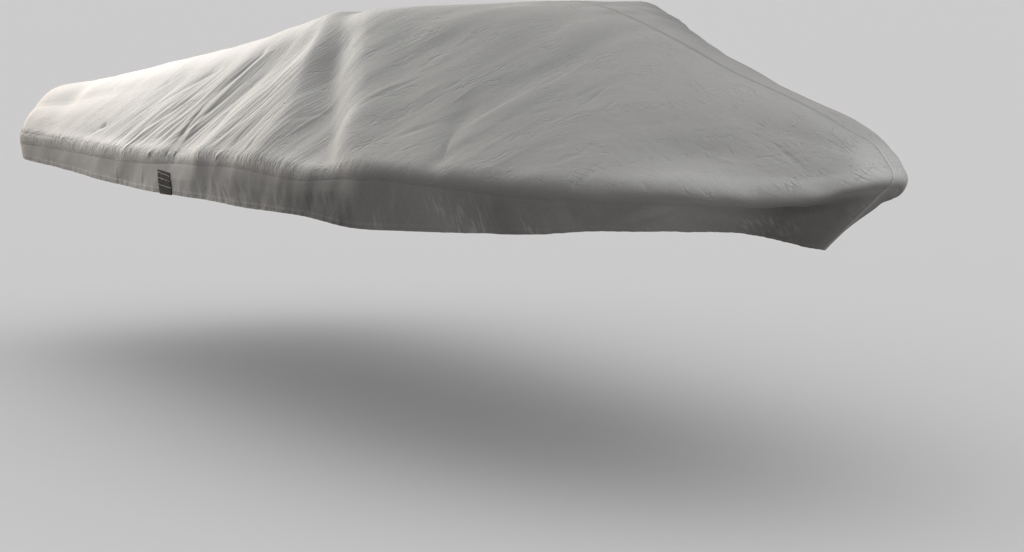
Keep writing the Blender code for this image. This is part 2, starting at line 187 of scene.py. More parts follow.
def sheet_row(girth, run, share):
    """Points where the starboard ribs at these girths have gone a share of a run, and their heights."""
    row = {name: smooth_column(RIB_GIRTHS, RIB[name], girth) for name in RIB_COLUMNS}
    centre = np.stack([row["centre_x"], 0 * girth, row["centre_z"]], -1)
    shoulder, gunwale, hem = (
        np.stack([row[name + "_x"], -row[name + "_half"], row[name + "_z"]], -1)
        for name in ("shoulder", "gunwale", "hem")
    )
    roof, side, skirt = shoulder - centre, gunwale - shoulder, hem - gunwale
    roof_length, side_length, skirt_length = (
        np.linalg.norm(line, axis=-1, keepdims=True) for line in (roof, side, skirt)
    )
    roof, side, skirt = roof / roof_length, side / side_length, skirt / skirt_length
    shoulder_ease, gunwale_ease = row["shoulder_ease"][:, None], row["gunwale_ease"][:, None]
    roof_ease = np.minimum(shoulder_ease, ROOF_EASE_SHARE * roof_length)
    side_ease = np.minimum(shoulder_ease, EASE_SHARE * side_length)
    gunwale_ease = np.minimum(gunwale_ease, EASE_SHARE * np.minimum(side_length, skirt_length))
    roof_end = shoulder - roof_ease * roof
    side_start = shoulder + side_ease * side
    side_end = gunwale - gunwale_ease * side
    skirt_start = gunwale + gunwale_ease * skirt
    if run == "roof":
        points = between(centre, roof_end, share)
        height = between(side_length + roof_length, side_length + roof_ease, share)
    elif run == "shoulder":
        points = turn(roof_end, shoulder, side_start, share)
        height = between(side_length + roof_ease, side_length - side_ease, share)
    elif run == "side":
        level = side * (1, 1, 0)
        steep = np.linalg.norm(level, axis=-1, keepdims=True)
        outward = level / steep * np.abs(side[:, 2:]) + steep * (0, 0, 1)
        rest = 1 - share  # the crown dies away softly towards the gunwale, so that no ridge shows there
        swelling = 4 * share * rest * rest / (rest + CROWN_EASE) * (1 + 2 * CROWN_EASE)
        bulge = outward * row["crown"][:, None] * swelling
        points = between(side_start, side_end, share) + bulge
        height = between(side_length - side_ease, gunwale_ease, share)
    elif run == "gunwale":
        points = turn(side_end, gunwale, skirt_start, share)
        height = between(gunwale_ease, -gunwale_ease, share)
    elif run == "lap":
        points = skirt_start + LAP * share * skirt
        height = -gunwale_ease - LAP * share
    elif run == "skirt":
        points = between(skirt_start + LAP * skirt, hem - HEM * skirt, share)
        height = between(-gunwale_ease - LAP, HEM - skirt_length, share)
    else:
        points = hem + HEM * (share - 1) * skirt
        height = HEM * (1 - share) - skirt_length
    return points, height[:, 0]


def rib_girths():
    """Girths of the fine ribs, closest together where RIB_SPACING is smallest."""
    even = np.linspace(0, RIB_GIRTHS[-1], RIB_COUNT * DENSITY_STEPS + 1)
    density = 1 / read(RIB_SPACING, even)
    count = np.concatenate([[0], np.cumsum((density[1:] + density[:-1]) / 2)])
    return np.interp(np.linspace(0, count[-1], RIB_COUNT + 1), count, even)


def rows_of(*runs):
    """Rows of a sheet, each with the run that it lies in and its share of that run."""
    rows = [(runs[0], 0.0)]
    for run in runs:
        rows += [(run, step / ROW_STEPS[run]) for step in range(1, ROW_STEPS[run] + 1)]
    return rows


PART_ROWS = {
    "top": rows_of("roof", "shoulder", "side", "gunwale", "lap"),
    "skirt": rows_of("lap", "skirt", "hem"),
}
# Share of a rib's lean that is left at a share of each run. The other runs have none.
RUN_LEAN = {"roof": lambda share: 1.0, "shoulder": lambda share: 1.0, "side": lambda share: 1 - share}


def smooth_sheet(rows):
    """Starboard sheet without folds, as grids of ribs by rows: points, girth and height of each point."""
    base = rib_girths()
    lean = smooth_column(RIB_LEAN[:, 0], RIB_LEAN[:, 1], base)
    points, girths, heights = [], [], []
    for run, share in rows:
        girth = base + lean * RUN_LEAN.get(run, lambda share: 0.0)(share)
        line, height = sheet_row(girth, run, share)
        points.append(line)
        girths.append(girth)
        heights.append(height)
    return np.stack(points, 1), np.stack(girths, 1), np.stack(heights, 1)


def pull_rise(girth):
    """How far a line of tension that starts at the stern has risen at this girth."""
    fine = np.linspace(PULL[0, 0], PULL[-1, 0], PULL_STEPS + 1)
    slope = read(PULL, fine)
    rise = np.concatenate([[0], np.cumsum((slope[1:] + slope[:-1]) / 2 * np.diff(fine))])
    return np.interp(girth, fine, rise)


def outward_normals(grid):
    """Outward normals of a starboard sheet, kept in the centre plane along the centre seam."""
    crossed = -np.cross(np.gradient(grid, axis=0), np.gradient(grid, axis=1))
    for end in (0, -1):  # the first and last rib run along the centreline, so their heads borrow a normal
        crossed[end, 0] = crossed[end, 1]
    return unit(crossed)


# Creases listed one by one. A crease runs from its head to its foot, standing bow aside of a straight line
# halfway, and lift is its height above the cloth, or below it where negative. It is highest at the share
# peak of its length, lean (-1 to 1) makes one flank steeper, and edge is 2 for a round crease and 1 for a
# sharp one.
Crease = namedtuple(
    "Crease", "head_girth head_height foot_girth foot_height bow half_width lift peak lean edge",
    defaults=(0.5, 0.2, 1.6))
STARBOARD_CREASES = [
    # the pull from the windshield's shoulder down and aft to the gunwale
    (3.44, 0.540, 2.86, 0.180, 0.018, 0.018, 0.0040, 0.6, 0.3, 2.0),
    (3.74, 0.690, 2.92, 0.165, 0.018, 0.011, -0.0060, 0.6, -0.3, 1.6),
    (3.06, 0.270, 2.84, -0.020, 0.030, 0.009, -0.0075, 0.5, -0.2, 1.5),
    (3.74, 0.700, 2.96, 0.150, 0.012, 0.018, 0.0052, 0.6, 0.2, 2.0),
    (3.12, 0.260, 2.90, 0.010, 0.015, 0.014, 0.0050, 0.5, 0.2, 2.0),
    (3.62, 0.470, 3.02, 0.090, 0.012, 0.020, -0.0050, 0.5, 0.0, 2.0),
    (2.88, 0.490, 2.72, 0.420, 0.000, 0.008, -0.0025, 0.5, 0.3, 1.5),
    (2.72, 0.410, 2.30, 0.270, 0.004, 0.009, -0.0025, 0.5, 0.3, 1.6),
    (3.19, 0.460, 2.36, 0.180, 0.006, 0.010, -0.0040, 0.5, 0.3, 1.6),
    (3.18, 0.407, 2.33, 0.040, 0.004, 0.011, -0.0050, 0.6, 0.3, 1.6),
    (3.02, 0.340, 2.44, 0.060, 0.006, 0.012, 0.0040, 0.6, 0.3, 1.8),
    (2.62, 0.170, 2.34, -0.010, 0.004, 0.010, 0.0060, 0.7, 0.4, 1.6),
    (2.58, 0.175, 2.31, 0.005, 0.004, 0.009, -0.0050, 0.7, 0.0, 1.5),
    (3.00, 0.250, 2.70, 0.020, 0.004, 0.011, -0.0045, 0.7, 0.3, 1.6),
    (3.92, 0.450, 3.26, 0.015, -0.010, 0.010, -0.0040, 0.6, 0.3, 1.5),
    (3.95, 0.400, 3.34, 0.010, -0.010, 0.022, 0.0025, 0.6, 0.2, 2.0),
    (3.35, 0.270, 3.10, 0.020, 0.004, 0.014, -0.0045, 0.6, 0.0, 1.8),
    (3.76, 0.150, 3.66, 0.000, 0.004, 0.012, -0.0030, 0.6, 0.3, 1.6),
    (3.58, 0.120, 3.49, 0.020, 0.004, 0.008, -0.0025, 0.5, 0.3, 1.5),
    (4.18, 0.275, 3.89, 0.170, 0.004, 0.009, -0.0025, 0.5, 0.3, 1.5),
    # short pinches where the pull is gathered into the gunwale seam
    (3.48, 0.040, 3.38, -0.020, 0.000, 0.008, 0.0050, 0.5, 0.5, 1.5),
    (2.73, 0.030, 2.64, -0.010, 0.000, 0.008, 0.0050, 0.5, 0.5, 1.5),
    (2.93, 0.060, 2.90, -0.030, 0.000, 0.007, 0.0050, 0.5, 0.3, 1.5),
    (2.85, 0.050, 2.84, -0.030, 0.000, 0.007, -0.0050, 0.5, 0.3, 1.5),
    # a soft hollow and single ticks on the slack cloth near the stern
    (1.36, 0.440, 1.32, 0.060, 0.000, 0.130, -0.0200, 0.5, 0.0, 2.0),
    (2.06, 0.122, 1.96, 0.085, 0.000, 0.010, -0.0090, 0.4, 0.5, 1.4),
    (2.00, 0.100, 1.82, 0.035, 0.002, 0.007, -0.0030, 0.3, 0.4, 1.4),
    (1.82, 0.380, 1.84, 0.305, 0.000, 0.008, -0.0040, 0.4, 0.4, 1.5),
    (1.71, 0.302, 1.62, 0.256, 0.000, 0.008, -0.0020, 0.5, 0.4, 1.5),
    # the post's lower end, and small marks on and beside it
    (4.38, 0.270, 4.49, 0.030, 0.000, 0.085, 0.0120, 0.5, 0.0, 2.0),
    (4.33, 0.078, 4.49, 0.070, 0.000, 0.006, 0.0022, 0.5, 0.0, 1.8),
    (4.09, 0.560, 4.03, 0.500, 0.000, 0.006, -0.0025, 0.5, 0.3, 1.5),
    (4.60, 0.375, 4.41, 0.235, 0.008, 0.010, -0.0025),
    (4.99, 0.280, 4.66, 0.110, -0.008, 0.010, -0.0030),
    (5.01, 0.235, 5.08, 0.035, 0.004, 0.009, -0.0100, 0.6, 0.2, 1.4),
    (5.28, 0.475, 5.02, 0.200, 0.012, 0.008, -0.0024, 0.6, 0.3, 1.5),
    (5.30, 0.480, 5.06, 0.200, 0.012, 0.012, 0.0012, 0.6, 0.3, 1.8),
    (5.43, 0.665, 5.26, 0.455, -0.012, 0.010, -0.0036, 0.6, 0.3, 1.5),
    # finer lines of the pull on the foredeck
    (4.70, 0.460, 4.47, 0.300, 0.004, 0.006, -0.0026),
    (4.98, 0.265, 4.70, 0.125, -0.010, 0.006, -0.0029),
    (4.89, 0.455, 4.82, 0.380, 0.000, 0.006, -0.0026),
    (4.98, 0.445, 4.91, 0.325, 0.000, 0.007, 0.0029, 0.5, 0.2, 1.8),
    (5.46, 0.170, 5.37, 0.065, 0.000, 0.007, 0.0038),
    (5.48, 0.270, 5.39, 0.165, 0.000, 0.006, -0.0026),
    (5.49, 0.400, 5.30, 0.310, 0.006, 0.006, -0.0032),
    (5.64, 0.555, 5.54, 0.385, -0.006, 0.007, -0.0038),
    (5.72, 0.470, 5.67, 0.380, 0.000, 0.006, -0.0032),
    (5.67, 0.186, 5.47, 0.158, 0.000, 0.006, 0.0029),
    (5.67, 0.722, 5.50, 0.678, 0.004, 0.006, -0.0029),
    (5.79, 0.875, 6.14, 0.692, 0.004, 0.007, 0.0032, 0.5, 0.2, 1.7),
    (5.82, 0.610, 5.98, 0.470, 0.000, 0.006, -0.0029),
    (6.12, 0.240, 6.37, 0.140, 0.006, 0.006, 0.0029),
    (6.33, 0.355, 6.56, 0.240, 0.004, 0.006, -0.0029),
    (6.47, 0.235, 6.64, 0.065, 0.000, 0.008, -0.0032),
    # the roll over the bow rail, with a hollow above it and another under it
    (5.76, 0.000, 6.74, 0.030, 0.000, 0.055, 0.0220, 0.4, 0.0, 2.0),
    (5.80, 0.190, 6.56, 0.195, 0.000, 0.065, -0.0170, 0.5, 0.0, 2.0),
    (6.05, -0.085, 6.88, -0.185, 0.000, 0.030, -0.0220, 0.7, 0.0, 2.0),
    # broader soft lines of the foredeck
    (4.84, 0.740, 4.70, 0.570, 0.010, 0.018, 0.0035, 0.5, 0.2, 2.0),
    (5.65, 0.565, 5.44, 0.400, 0.000, 0.010, -0.0020),
    (5.46, 0.165, 5.38, 0.070, 0.000, 0.010, -0.0025),
    (5.75, 0.195, 5.56, 0.070, -0.006, 0.010, -0.0030),
    (5.38, 0.080, 5.28, 0.000, 0.000, 0.012, 0.0030, 0.5, 0.2, 1.8),
    (5.83, 0.100, 5.72, -0.055, 0.004, 0.012, -0.0040),
    (5.48, 0.775, 4.96, 0.845, 0.006, 0.016, 0.0030, 0.5, 0.2, 2.0),
    (5.55, 0.905, 5.19, 0.870, 0.006, 0.016, 0.0025, 0.5, 0.2, 2.0),
    (5.83, 0.696, 5.51, 0.680, 0.006, 0.014, -0.0020, 0.5, 0.2, 2.0),
    # crumpled ticks on the foredeck
    (6.19, 0.612, 6.26, 0.486, 0.004, 0.007, -0.0048, 0.5, 0.2, 1.5),
    (6.02, 0.386, 6.04, 0.337, 0.002, 0.007, -0.0048, 0.5, 0.2, 1.5),
    (6.23, 0.177, 6.36, 0.143, 0.000, 0.008, 0.0032),
    (6.91, 0.095, 6.90, 0.000, 0.002, 0.008, -0.0048, 0.5, 0.2, 1.5),
    # soft upright folds of the skirt, which is drawn in amidships
    (2.70, -0.170, 4.40, -0.225, 0.000, 0.090, -0.0170, 0.5, 0.0, 2.0),
    (2.26, -0.050, 2.25, -0.120, 0.000, 0.010, 0.0015, 0.5, 0.0, 2.0),
    (2.58, -0.050, 2.55, -0.140, 0.000, 0.009, 0.0022, 0.5, 0.0, 2.0),
    (3.34, -0.060, 3.26, -0.184, 0.004, 0.014, 0.0016, 0.5, 0.2, 2.0),
    (3.59, -0.070, 3.59, -0.183, 0.004, 0.018, -0.0016, 0.5, 0.2, 2.0),
    (4.88, -0.015, 4.76, -0.242, 0.008, 0.022, 0.0045, 0.5, 0.2, 2.0),
    (5.10, -0.020, 4.98, -0.238, -0.006, 0.020, -0.0040, 0.6, 0.2, 2.0),
    (5.36, -0.030, 5.25, -0.225, 0.006, 0.022, 0.0045, 0.6, 0.2, 2.0),
    (5.72, -0.020, 5.68, -0.216, 0.000, 0.024, -0.0040, 0.6, 0.2, 2.0),
    (6.21, -0.049, 5.80, -0.215, 0.010, 0.030, -0.0090, 0.6, 0.3, 2.0),
    (6.27, -0.060, 5.93, -0.225, 0.010, 0.024, 0.0050, 0.6, 0.3, 2.0),
    (6.55, -0.190, 6.70, -0.380, 0.000, 0.022, 0.0060, 0.5, 0.2, 2.0),
    (6.83, -0.130, 6.86, -0.274, 0.000, 0.016, 0.0045, 0.5, 0.2, 2.0),
]
PORT_CREASES = [
    (3.30, 0.470, 2.78, 0.130, 0.000, 0.022, 0.0060, 0.6, 0.3, 2.0),
    (3.44, 0.600, 2.98, 0.050, 0.012, 0.016, -0.0065, 0.6, -0.3, 1.7),
    (3.40, 0.410, 3.08, 0.060, 0.000, 0.018, 0.0055, 0.6, 0.4, 2.0),
    (3.05, 0.120, 2.97, -0.020, 0.000, 0.010, -0.0065, 0.6, 0.0, 1.5),
    (3.04, 0.440, 2.30, 0.150, 0.008, 0.010, -0.0040, 0.5, 0.3, 1.6),
    (3.10, 0.360, 2.46, 0.040, 0.004, 0.011, -0.0050, 0.6, 0.3, 1.6),
    (2.92, 0.330, 2.30, 0.070, 0.006, 0.012, 0.0040, 0.6, 0.3, 1.8),
    (2.70, 0.180, 2.48, -0.010, 0.004, 0.010, 0.0055, 0.7, 0.4, 1.6),
    (3.80, 0.430, 3.36, 0.015, -0.010, 0.010, -0.0040, 0.6, 0.3, 1.5),
    (3.90, 0.380, 3.46, 0.010, -0.010, 0.022, 0.0040, 0.6, 0.2, 2.0),
    (3.62, 0.060, 3.53, -0.020, 0.000, 0.008, 0.0050, 0.5, 0.5, 1.5),
    (2.16, 0.150, 2.08, 0.100, 0.000, 0.010, -0.0070, 0.4, 0.5, 1.4),
    (1.60, 0.340, 1.66, 0.270, 0.000, 0.008, -0.0035, 0.4, 0.4, 1.5),
    (3.72, 0.900, 3.84, -0.040, 0.000, 0.130, 0.0140, 0.5, 0.0, 2.0),
    (4.02, 0.900, 4.24, 0.020, 0.000, 0.080, -0.0050, 0.5, 0.0, 2.0),
    (4.72, 0.420, 4.50, 0.260, 0.008, 0.010, -0.0025),
    (5.06, 0.300, 4.80, 0.090, -0.008, 0.010, -0.0030),
    (5.16, 0.260, 5.22, 0.060, 0.000, 0.010, -0.0080, 0.6, 0.5, 1.4),
    (5.50, 0.600, 5.14, 0.250, 0.010, 0.010, -0.0035, 0.6, 0.3, 1.5),
    (4.92, 0.780, 4.78, 0.600, 0.010, 0.018, 0.0035, 0.5, 0.2, 2.0),
    (5.86, 0.240, 5.66, 0.090, -0.006, 0.010, -0.0030),
    (5.70, 0.110, 5.62, -0.045, 0.004, 0.012, -0.0040),
    (5.60, 0.850, 5.10, 0.820, 0.006, 0.016, 0.0030, 0.5, 0.2, 2.0),
    (6.10, 0.560, 6.20, 0.440, 0.004, 0.009, -0.0030, 0.5, 0.2, 1.5),
    (5.78, 0.030, 6.62, 0.060, 0.000, 0.055, 0.0110, 0.5, 0.0, 2.0),
    (5.80, 0.175, 6.50, 0.190, 0.000, 0.055, -0.0050, 0.5, 0.0, 2.0),
    (6.00, -0.070, 6.86, -0.170, 0.000, 0.032, -0.0110, 0.7, 0.0, 2.0),
    (3.06, -0.020, 3.00, -0.170, 0.004, 0.016, 0.0035, 0.5, 0.2, 2.0),
    (3.74, -0.010, 3.68, -0.190, 0.004, 0.018, -0.0035, 0.5, 0.2, 2.0),
    (4.62, -0.020, 4.55, -0.210, 0.008, 0.022, 0.0045, 0.5, 0.2, 2.0),
    (5.24, -0.020, 5.12, -0.230, -0.006, 0.020, -0.0040, 0.6, 0.2, 2.0),
    (6.14, -0.050, 5.78, -0.210, 0.010, 0.028, -0.0080, 0.6, 0.3, 2.0),
]
HAND_CREASES = {
    side_name: [Crease(*row) for row in rows]
    for side_name, rows in (("starboard", STARBOARD_CREASES), ("port", PORT_CREASES))
}
CREASE_REACH = 3  # half widths beyond which a crease is taken as flat


def main_folds(points, side):
    """Height of the main folds at points of one side's sheet."""
    height = np.zeros(points.shape[:-1])
    half = np.abs(points[..., 1])
    for fold in (dict(zip(FOLD_COLUMNS, row)) for row in FOLDS if row[0] == side):
        head = np.array([fold["head_x"], fold["head_half"]])
        run = np.array([fold["foot_x"], fold["foot_half"]]) - head
        length = np.linalg.norm(run)
        run = run / length
        from_head = np.stack([points[..., 0], half], -1) - head
        along = from_head @ run
        across = from_head[..., 0] * run[1] - from_head[..., 1] * run[0]
        past_end = np.maximum(np.maximum(-along, along - length), 0)
        height += fold["height"] * np.exp(-(across / fold["half_width"]) ** 2 - (past_end / FOLD_FADE) ** 2)
    return height * np.minimum(half / SEAM_CALM, 1)


def smooth_step(t):
    t = np.clip(t, 0, 1)
    return t * t * (3 - 2 * t)


def crease_heights(girth, height, creases):
    """Sum of the creases' lifts at points of the cloth."""
    total = np.zeros(girth.shape)
    for crease in creases:
        reach = CREASE_REACH * crease.half_width + abs(crease.bow)
        low_girth, high_girth = sorted((crease.head_girth, crease.foot_girth))
        low_height, high_height = sorted((crease.head_height, crease.foot_height))
        near = ((girth > low_girth - reach) & (girth < high_girth + reach)
                & (height > low_height - reach) & (height < high_height + reach))
        run = np.array([crease.foot_girth - crease.head_girth, crease.foot_height - crease.head_height])
        length = np.hypot(*run)
        run = run / length
        ahead, above = girth[near] - crease.head_girth, height[near] - crease.head_height
        along = (ahead * run[0] + above * run[1]) / length
        across = ahead * run[1] - above * run[0] - crease.bow * 4 * along * (1 - along)
        half_width = crease.half_width * (1 + crease.lean * np.sign(across))
        swell = smooth_step(along / crease.peak) * smooth_step((1 - along) / (1 - crease.peak))
        total[near] += crease.lift * swell * np.exp(-np.abs(across / half_width) ** crease.edge)
    return total


# The starboard cloth swells before the windshield's post, sinks, and rises again onto the post.
WINDSHIELD_FOLD = np.array([
    # height, then girth and lift of the swelling's crest, of the trough and of the ridge on the post
    (-0.09, 3.80, 0.000, 4.42, 0.000, 4.64, 0.000),
    (0.00, 3.80, 0.007, 4.38, -0.011, 4.60, 0.007),
    (0.06, 3.80, 0.018, 4.32, -0.028, 4.55, 0.019),
    (0.14, 3.82, 0.024, 4.24, -0.036, 4.50, 0.024),
    (0.20, 3.84, 0.024, 4.19, -0.038, 4.46, 0.024),
    (0.27, 3.87, 0.022, 4.12, -0.039, 4.43, 0.025),
    (0.39, 3.85, 0.020, 4.03, -0.036, 4.37, 0.024),
    (0.51, 3.83, 0.018, 3.99, -0.024, 4.26, 0.019),
    (0.60, 3.79, 0.016, 3.96, -0.015, 4.20, 0.012),
    (0.69, 3.75, 0.014, 3.94, -0.008, 4.14, 0.005),
    (0.80, 3.72, 0.008, 3.92, -0.002, 4.12, 0.001),
    (0.95, 3.70, 0.000, 3.90, 0.000, 4.10, 0.000),
])
WINDSHIELD_FOLD_ENDS = (0.31, 0.28)  # how far it runs out aft of the crest and forward of the ridge
WINDSHIELD_FOLD_STEPS = 80  # places up its height at which the table is read


def windshield_fold(girth, height):
    """Height of the large fold beside the windshield's post at points of the starboard cloth."""
    heights, *columns = WINDSHIELD_FOLD.T
    fine = np.linspace(heights[0], heights[-1], WINDSHIELD_FOLD_STEPS)
    columns = [np.interp(height, fine, smooth_column(heights, column, fine)) for column in columns]
    girths = [columns[0] - WINDSHIELD_FOLD_ENDS[0], *columns[::2], columns[4] + WINDSHIELD_FOLD_ENDS[1]]
    lifts = [0, *columns[1::2], 0]
    total = np.zeros(girth.shape)
    for start, end, low, high in zip(girths, girths[1:], lifts, lifts[1:]):
        share = smooth_step((girth - start) / (end - start))
        total += np.where((girth >= start) & (girth < end), low + (high - low) * share, 0)
    return total


# Creases drawn at random. Tables give (girth, value), and pairs of numbers are the least and the most.
PULLED_FEET = (1.9, 4.1, 0.035)  # first and last girth of the fans' feet, and the distance between two
PULLED_STRENGTH = ((1.9, 0.55), (2.4, 1.0), (3.2, 0.85), (4.1, 0.35))
PULLED_LEAN = ((1.9, 1.9), (3.0, 1.55), (4.1, 0.75))
PULLED_FOOT_HEIGHTS = (0.0, 0.0, 0.04, 0.10, 0.2)
PULLED_TOP = 0.55
CRUMPLE_COUNT = 260
CRUMPLE_GIRTHS, CRUMPLE_HEIGHTS, CRUMPLE_LENGTHS = (4.2, 6.8), (0.04, 1.1), (0.05, 0.20)
GATHER_STRENGTH = ((0, 0.7), (0.9, 1.3), (1.5, 1.0), (3.9, 1.0), (4.5, 0.6), (5.0, 0.15), (7, 0.08))

# The roll above the gunwale, and the soft waves of the whole cloth
ROLL_SHARE = ((0.0, 0.8), (0.9, 1.4), (1.3, 2.2), (2.6, 2.0), (3.0, 0.8), (4.0, 0.9), (4.7, 0.0))
ROLL_HEIGHT, ROLL_WIDTH, ROLL_LIFT = 0.028, 0.026, 0.0036
WAVE_COUNT = 11
WAVE_SLOPE = 0.0022  # height of a soft wave as a share of its width


def either(random):
    """1 or -1, for a crease that stands up or sinks in."""
    return random.choice((-1, 1))


def pulled_creases(random):
    """Fine tension creases that fan out from the windshield's shoulder down and aft to the gunwale."""
    made = []
    for foot in np.arange(*PULLED_FEET):
        foot_girth = foot + random.uniform(-0.02, 0.02)
        pull = read(PULLED_STRENGTH, foot_girth)
        lean = read(PULLED_LEAN, foot_girth)
        foot_height = random.choice(PULLED_FOOT_HEIGHTS) + random.uniform(0, 0.03)
        head_height = min(foot_height + random.uniform(0.12, 0.42), PULLED_TOP)
        lift = pull * random.uniform(0.001, 0.0034) * either(random)
        made.append(Crease(
            foot_girth + lean * head_height, head_height, foot_girth + lean * foot_height, foot_height,
            bow=random.uniform(-0.008, 0.008), half_width=random.uniform(0.006, 0.011), lift=lift,
            peak=random.uniform(0.4, 0.8), lean=random.uniform(-0.2, 0.5), edge=random.uniform(1.4, 1.9)))
    return made


def crumpled_creases(random):
    """Short shallow creases all over the slack foredeck, which follow the lines of tension there."""
    made = []
    while len(made) < CRUMPLE_COUNT:
        girth, height = random.uniform(*CRUMPLE_GIRTHS), random.uniform(*CRUMPLE_HEIGHTS)
        length = random.uniform(*CRUMPLE_LENGTHS)
        slope = read(PULL, girth) + random.uniform(-0.25, 0.25)
        ahead = length / np.hypot(1, slope) / 2
        made.append(Crease(
            girth + ahead, height + slope * ahead, girth - ahead, height - slope * ahead,
            bow=random.uniform(-0.006, 0.006), half_width=random.uniform(0.005, 0.009),
            lift=random.uniform(0.0004, 0.0012) * either(random), lean=random.uniform(-0.4, 0.4),
            edge=random.uniform(1.4, 1.9)))
    return made


def gathered_creases(random, depth):
    """Small puckers that the gunwale's stitching draws up, dense aft and fading out on the foredeck."""
    made = []
    girth = 0.02
    while girth < RIB_GIRTHS[-1] - 0.02:
        up = random.uniform(0.008, 0.065)
        slant = random.uniform(-0.15, 0.45) * up
        lift = depth * read(GATHER_STRENGTH, girth) * random.uniform(0.2, 1.0) ** 1.5 * either(random)
        made.append(Crease(
            girth + slant, 0.01 + up, girth - slant, random.uniform(-0.022, -0.006), bow=0.0,
            half_width=random.uniform(0.0035, 0.0060), lift=lift, lean=random.uniform(-0.3, 0.3), edge=1.8))
        girth += random.uniform(0.006, 0.017)
    return made


def hem_creases(random, hem_height):
    """Small puckers that the hem's stitching draws up."""
    made = []
    girth = 0.05
    while girth < RIB_GIRTHS[-1] - 0.05:
        foot = np.interp(girth, *hem_height)
        rise = random.uniform(0.02, 0.05)
        made.append(Crease(
            girth, foot + rise, girth + random.uniform(-0.01, 0.01), foot - 0.01, bow=0.0,
            half_width=random.uniform(0.006, 0.012), lift=random.uniform(0.0006, 0.0022) * either(random),
            peak=0.7, lean=0.0, edge=1.9))
        girth += random.uniform(0.02, 0.07)
    return made


def skirt_creases(random):
    """Soft upright folds of the skirt between the larger listed ones."""
    made = []
    girth = 0.1
    while girth < RIB_GIRTHS[-1] - 0.1:
        head = random.uniform(-0.085, -0.05)
        drop = random.uniform(0.06, 0.25)
        slant = random.uniform(-0.05, 0.02)
        lift = random.uniform(0.0005, 0.0018) * either(random)
        made.append(Crease(
            girth, head, girth + slant, head - drop, bow=random.uniform(-0.012, 0.012),
            half_width=random.uniform(0.012, 0.026), lift=lift, peak=random.uniform(0.4, 0.8),
            lean=random.uniform(-0.5, 0.5), edge=random.uniform(1.7, 2.0)))
        girth += random.uniform(0.04, 0.11)
    return made


def gunwale_roll(girth, height):
    """The cloth stands out just above the gunwale, aft of the foredeck."""
    return read(ROLL_SHARE, girth) * ROLL_LIFT * np.exp(-((height - ROLL_HEIGHT) / ROLL_WIDTH) ** 2)


def soft_waves(girth, height, random):
    """Slight unevenness of the whole cloth: shallow waves that mostly follow the lines of tension."""
    across = height - pull_rise(girth)
    total = np.zeros(girth.shape)
    for _ in range(WAVE_COUNT):
        width = random.uniform(0.10, 0.40)
        length = width * random.uniform(2.0, 6.0) * either(random)
        phase = random.uniform(0, 1)
        total += WAVE_SLOPE * width * np.sin(2 * np.pi * (across / width + girth / length + phase))
    return total


# ---------------------------------------------------------------------------------------------------------
# Looks
# ---------------------------------------------------------------------------------------------------------


def colour_setting(name, description, default):
    return FloatVectorProperty(
        name=name, description=description, subtype="COLOR", size=3, min=0, max=1, default=default)


def length_setting(name, description, default):
    return FloatProperty(name=name, description=description, unit="LENGTH", default=default)


def power_setting(name, description, default):
    return FloatProperty(name=name, description=description, unit="POWER", default=default)


class ClothLook(bpy.types.PropertyGroup):
    """Sizes and colours of the cloth."""

    colour: colour_setting("Cloth colour", "Warm grey of the woven polyester", (0.158, 0.155, 0.149))
    thickness: length_setting("Cloth thickness", "Thickness of one layer of cloth", 0.0012)
    gather_depth: length_setting("Gather depth", "Depth of the puckers along the gunwale seam", 0.0026)
    weave_pitch: length_setting("Weave pitch", "Distance between two yarns of the weave", 0.0012)


class SewingLook(bpy.types.PropertyGroup):
    """Sizes and colours of the seams."""

    thread_colour: colour_setting("Thread colour", "Grey of the seam thread", (0.18, 0.177, 0.17))
    pitch: length_setting("Stitch pitch", "Distance from one stitch to the next", 0.0055)
    stitch: length_setting("Stitch length", "Length of a stitch that shows", 0.0043)
    thread: length_setting("Thread thickness", "Thickness of the seam thread", 0.0009)
    seam_width: length_setting("Seam width", "Width of the felled seam along the centreline", 0.012)


class StrapLook(bpy.types.PropertyGroup):
    """Sizes and colours of the webbing patches."""

    colour: colour_setting("Webbing colour", "Near black of the webbing", (0.0100, 0.0115, 0.0105))
    thread_colour: colour_setting("Tack thread colour", "Pale grey of the tacking rows", (0.34, 0.34, 0.33))
    rib_pitch: length_setting("Webbing rib pitch", "Distance between two ribs of the webbing", 0.0022)
    tack_width: length_setting("Tack width", "Length of the slanted stitches in a tacking row", 0.0042)
    tack_pitch: length_setting("Tack pitch", "Distance between the stitches of a tacking row", 0.0016)


class StageLook(bpy.types.PropertyGroup):
    """Floor, lights and camera."""

    floor_colour: colour_setting("Floor colour", "Colour of the plain floor", (0.86, 0.86, 0.86))
    key_power: power_setting("Key light", "Power of the soft light above the stern", 227.0)
    front_power: power_setting("Front light", "Power of the soft light ahead of the bow", 469.0)
    stern_power: power_setting("Stern light", "Power of the far light behind the stern", 1605.0)
    fill: FloatProperty(name="Fill", description="Strength of the even light from all round", default=0.70)


LOOKS = {"cloth": ClothLook, "sewing": SewingLook, "straps": StrapLook, "stage": StageLook}


def look(name):
    return getattr(bpy.context.scene, "boat_cover_" + name)


# --- materials --------------------------------------------------------------------------------------------


def add_node(tree, kind, inputs=None, **settings):
    """One shader or geometry node, with its settings and the inputs that have a value or a link."""
    node = tree.nodes.new(kind)
    for name, value in settings.items():
        setattr(node, name, value)
    for name, value in (inputs or {}).items():
        socket = node.inputs[name]
        if isinstance(value, bpy.types.NodeSocket):
            tree.links.new(value, socket)
        else:
            socket.default_value = value
    return node


def reckon(tree, operation, *values):
    """Result of one math node."""
    return add_node(tree, "ShaderNodeMath", dict(enumerate(values)), operation=operation).outputs[0]


def product(tree, first, *others):
    for other in others:
        first = reckon(tree, "MULTIPLY", first, other)
    return first


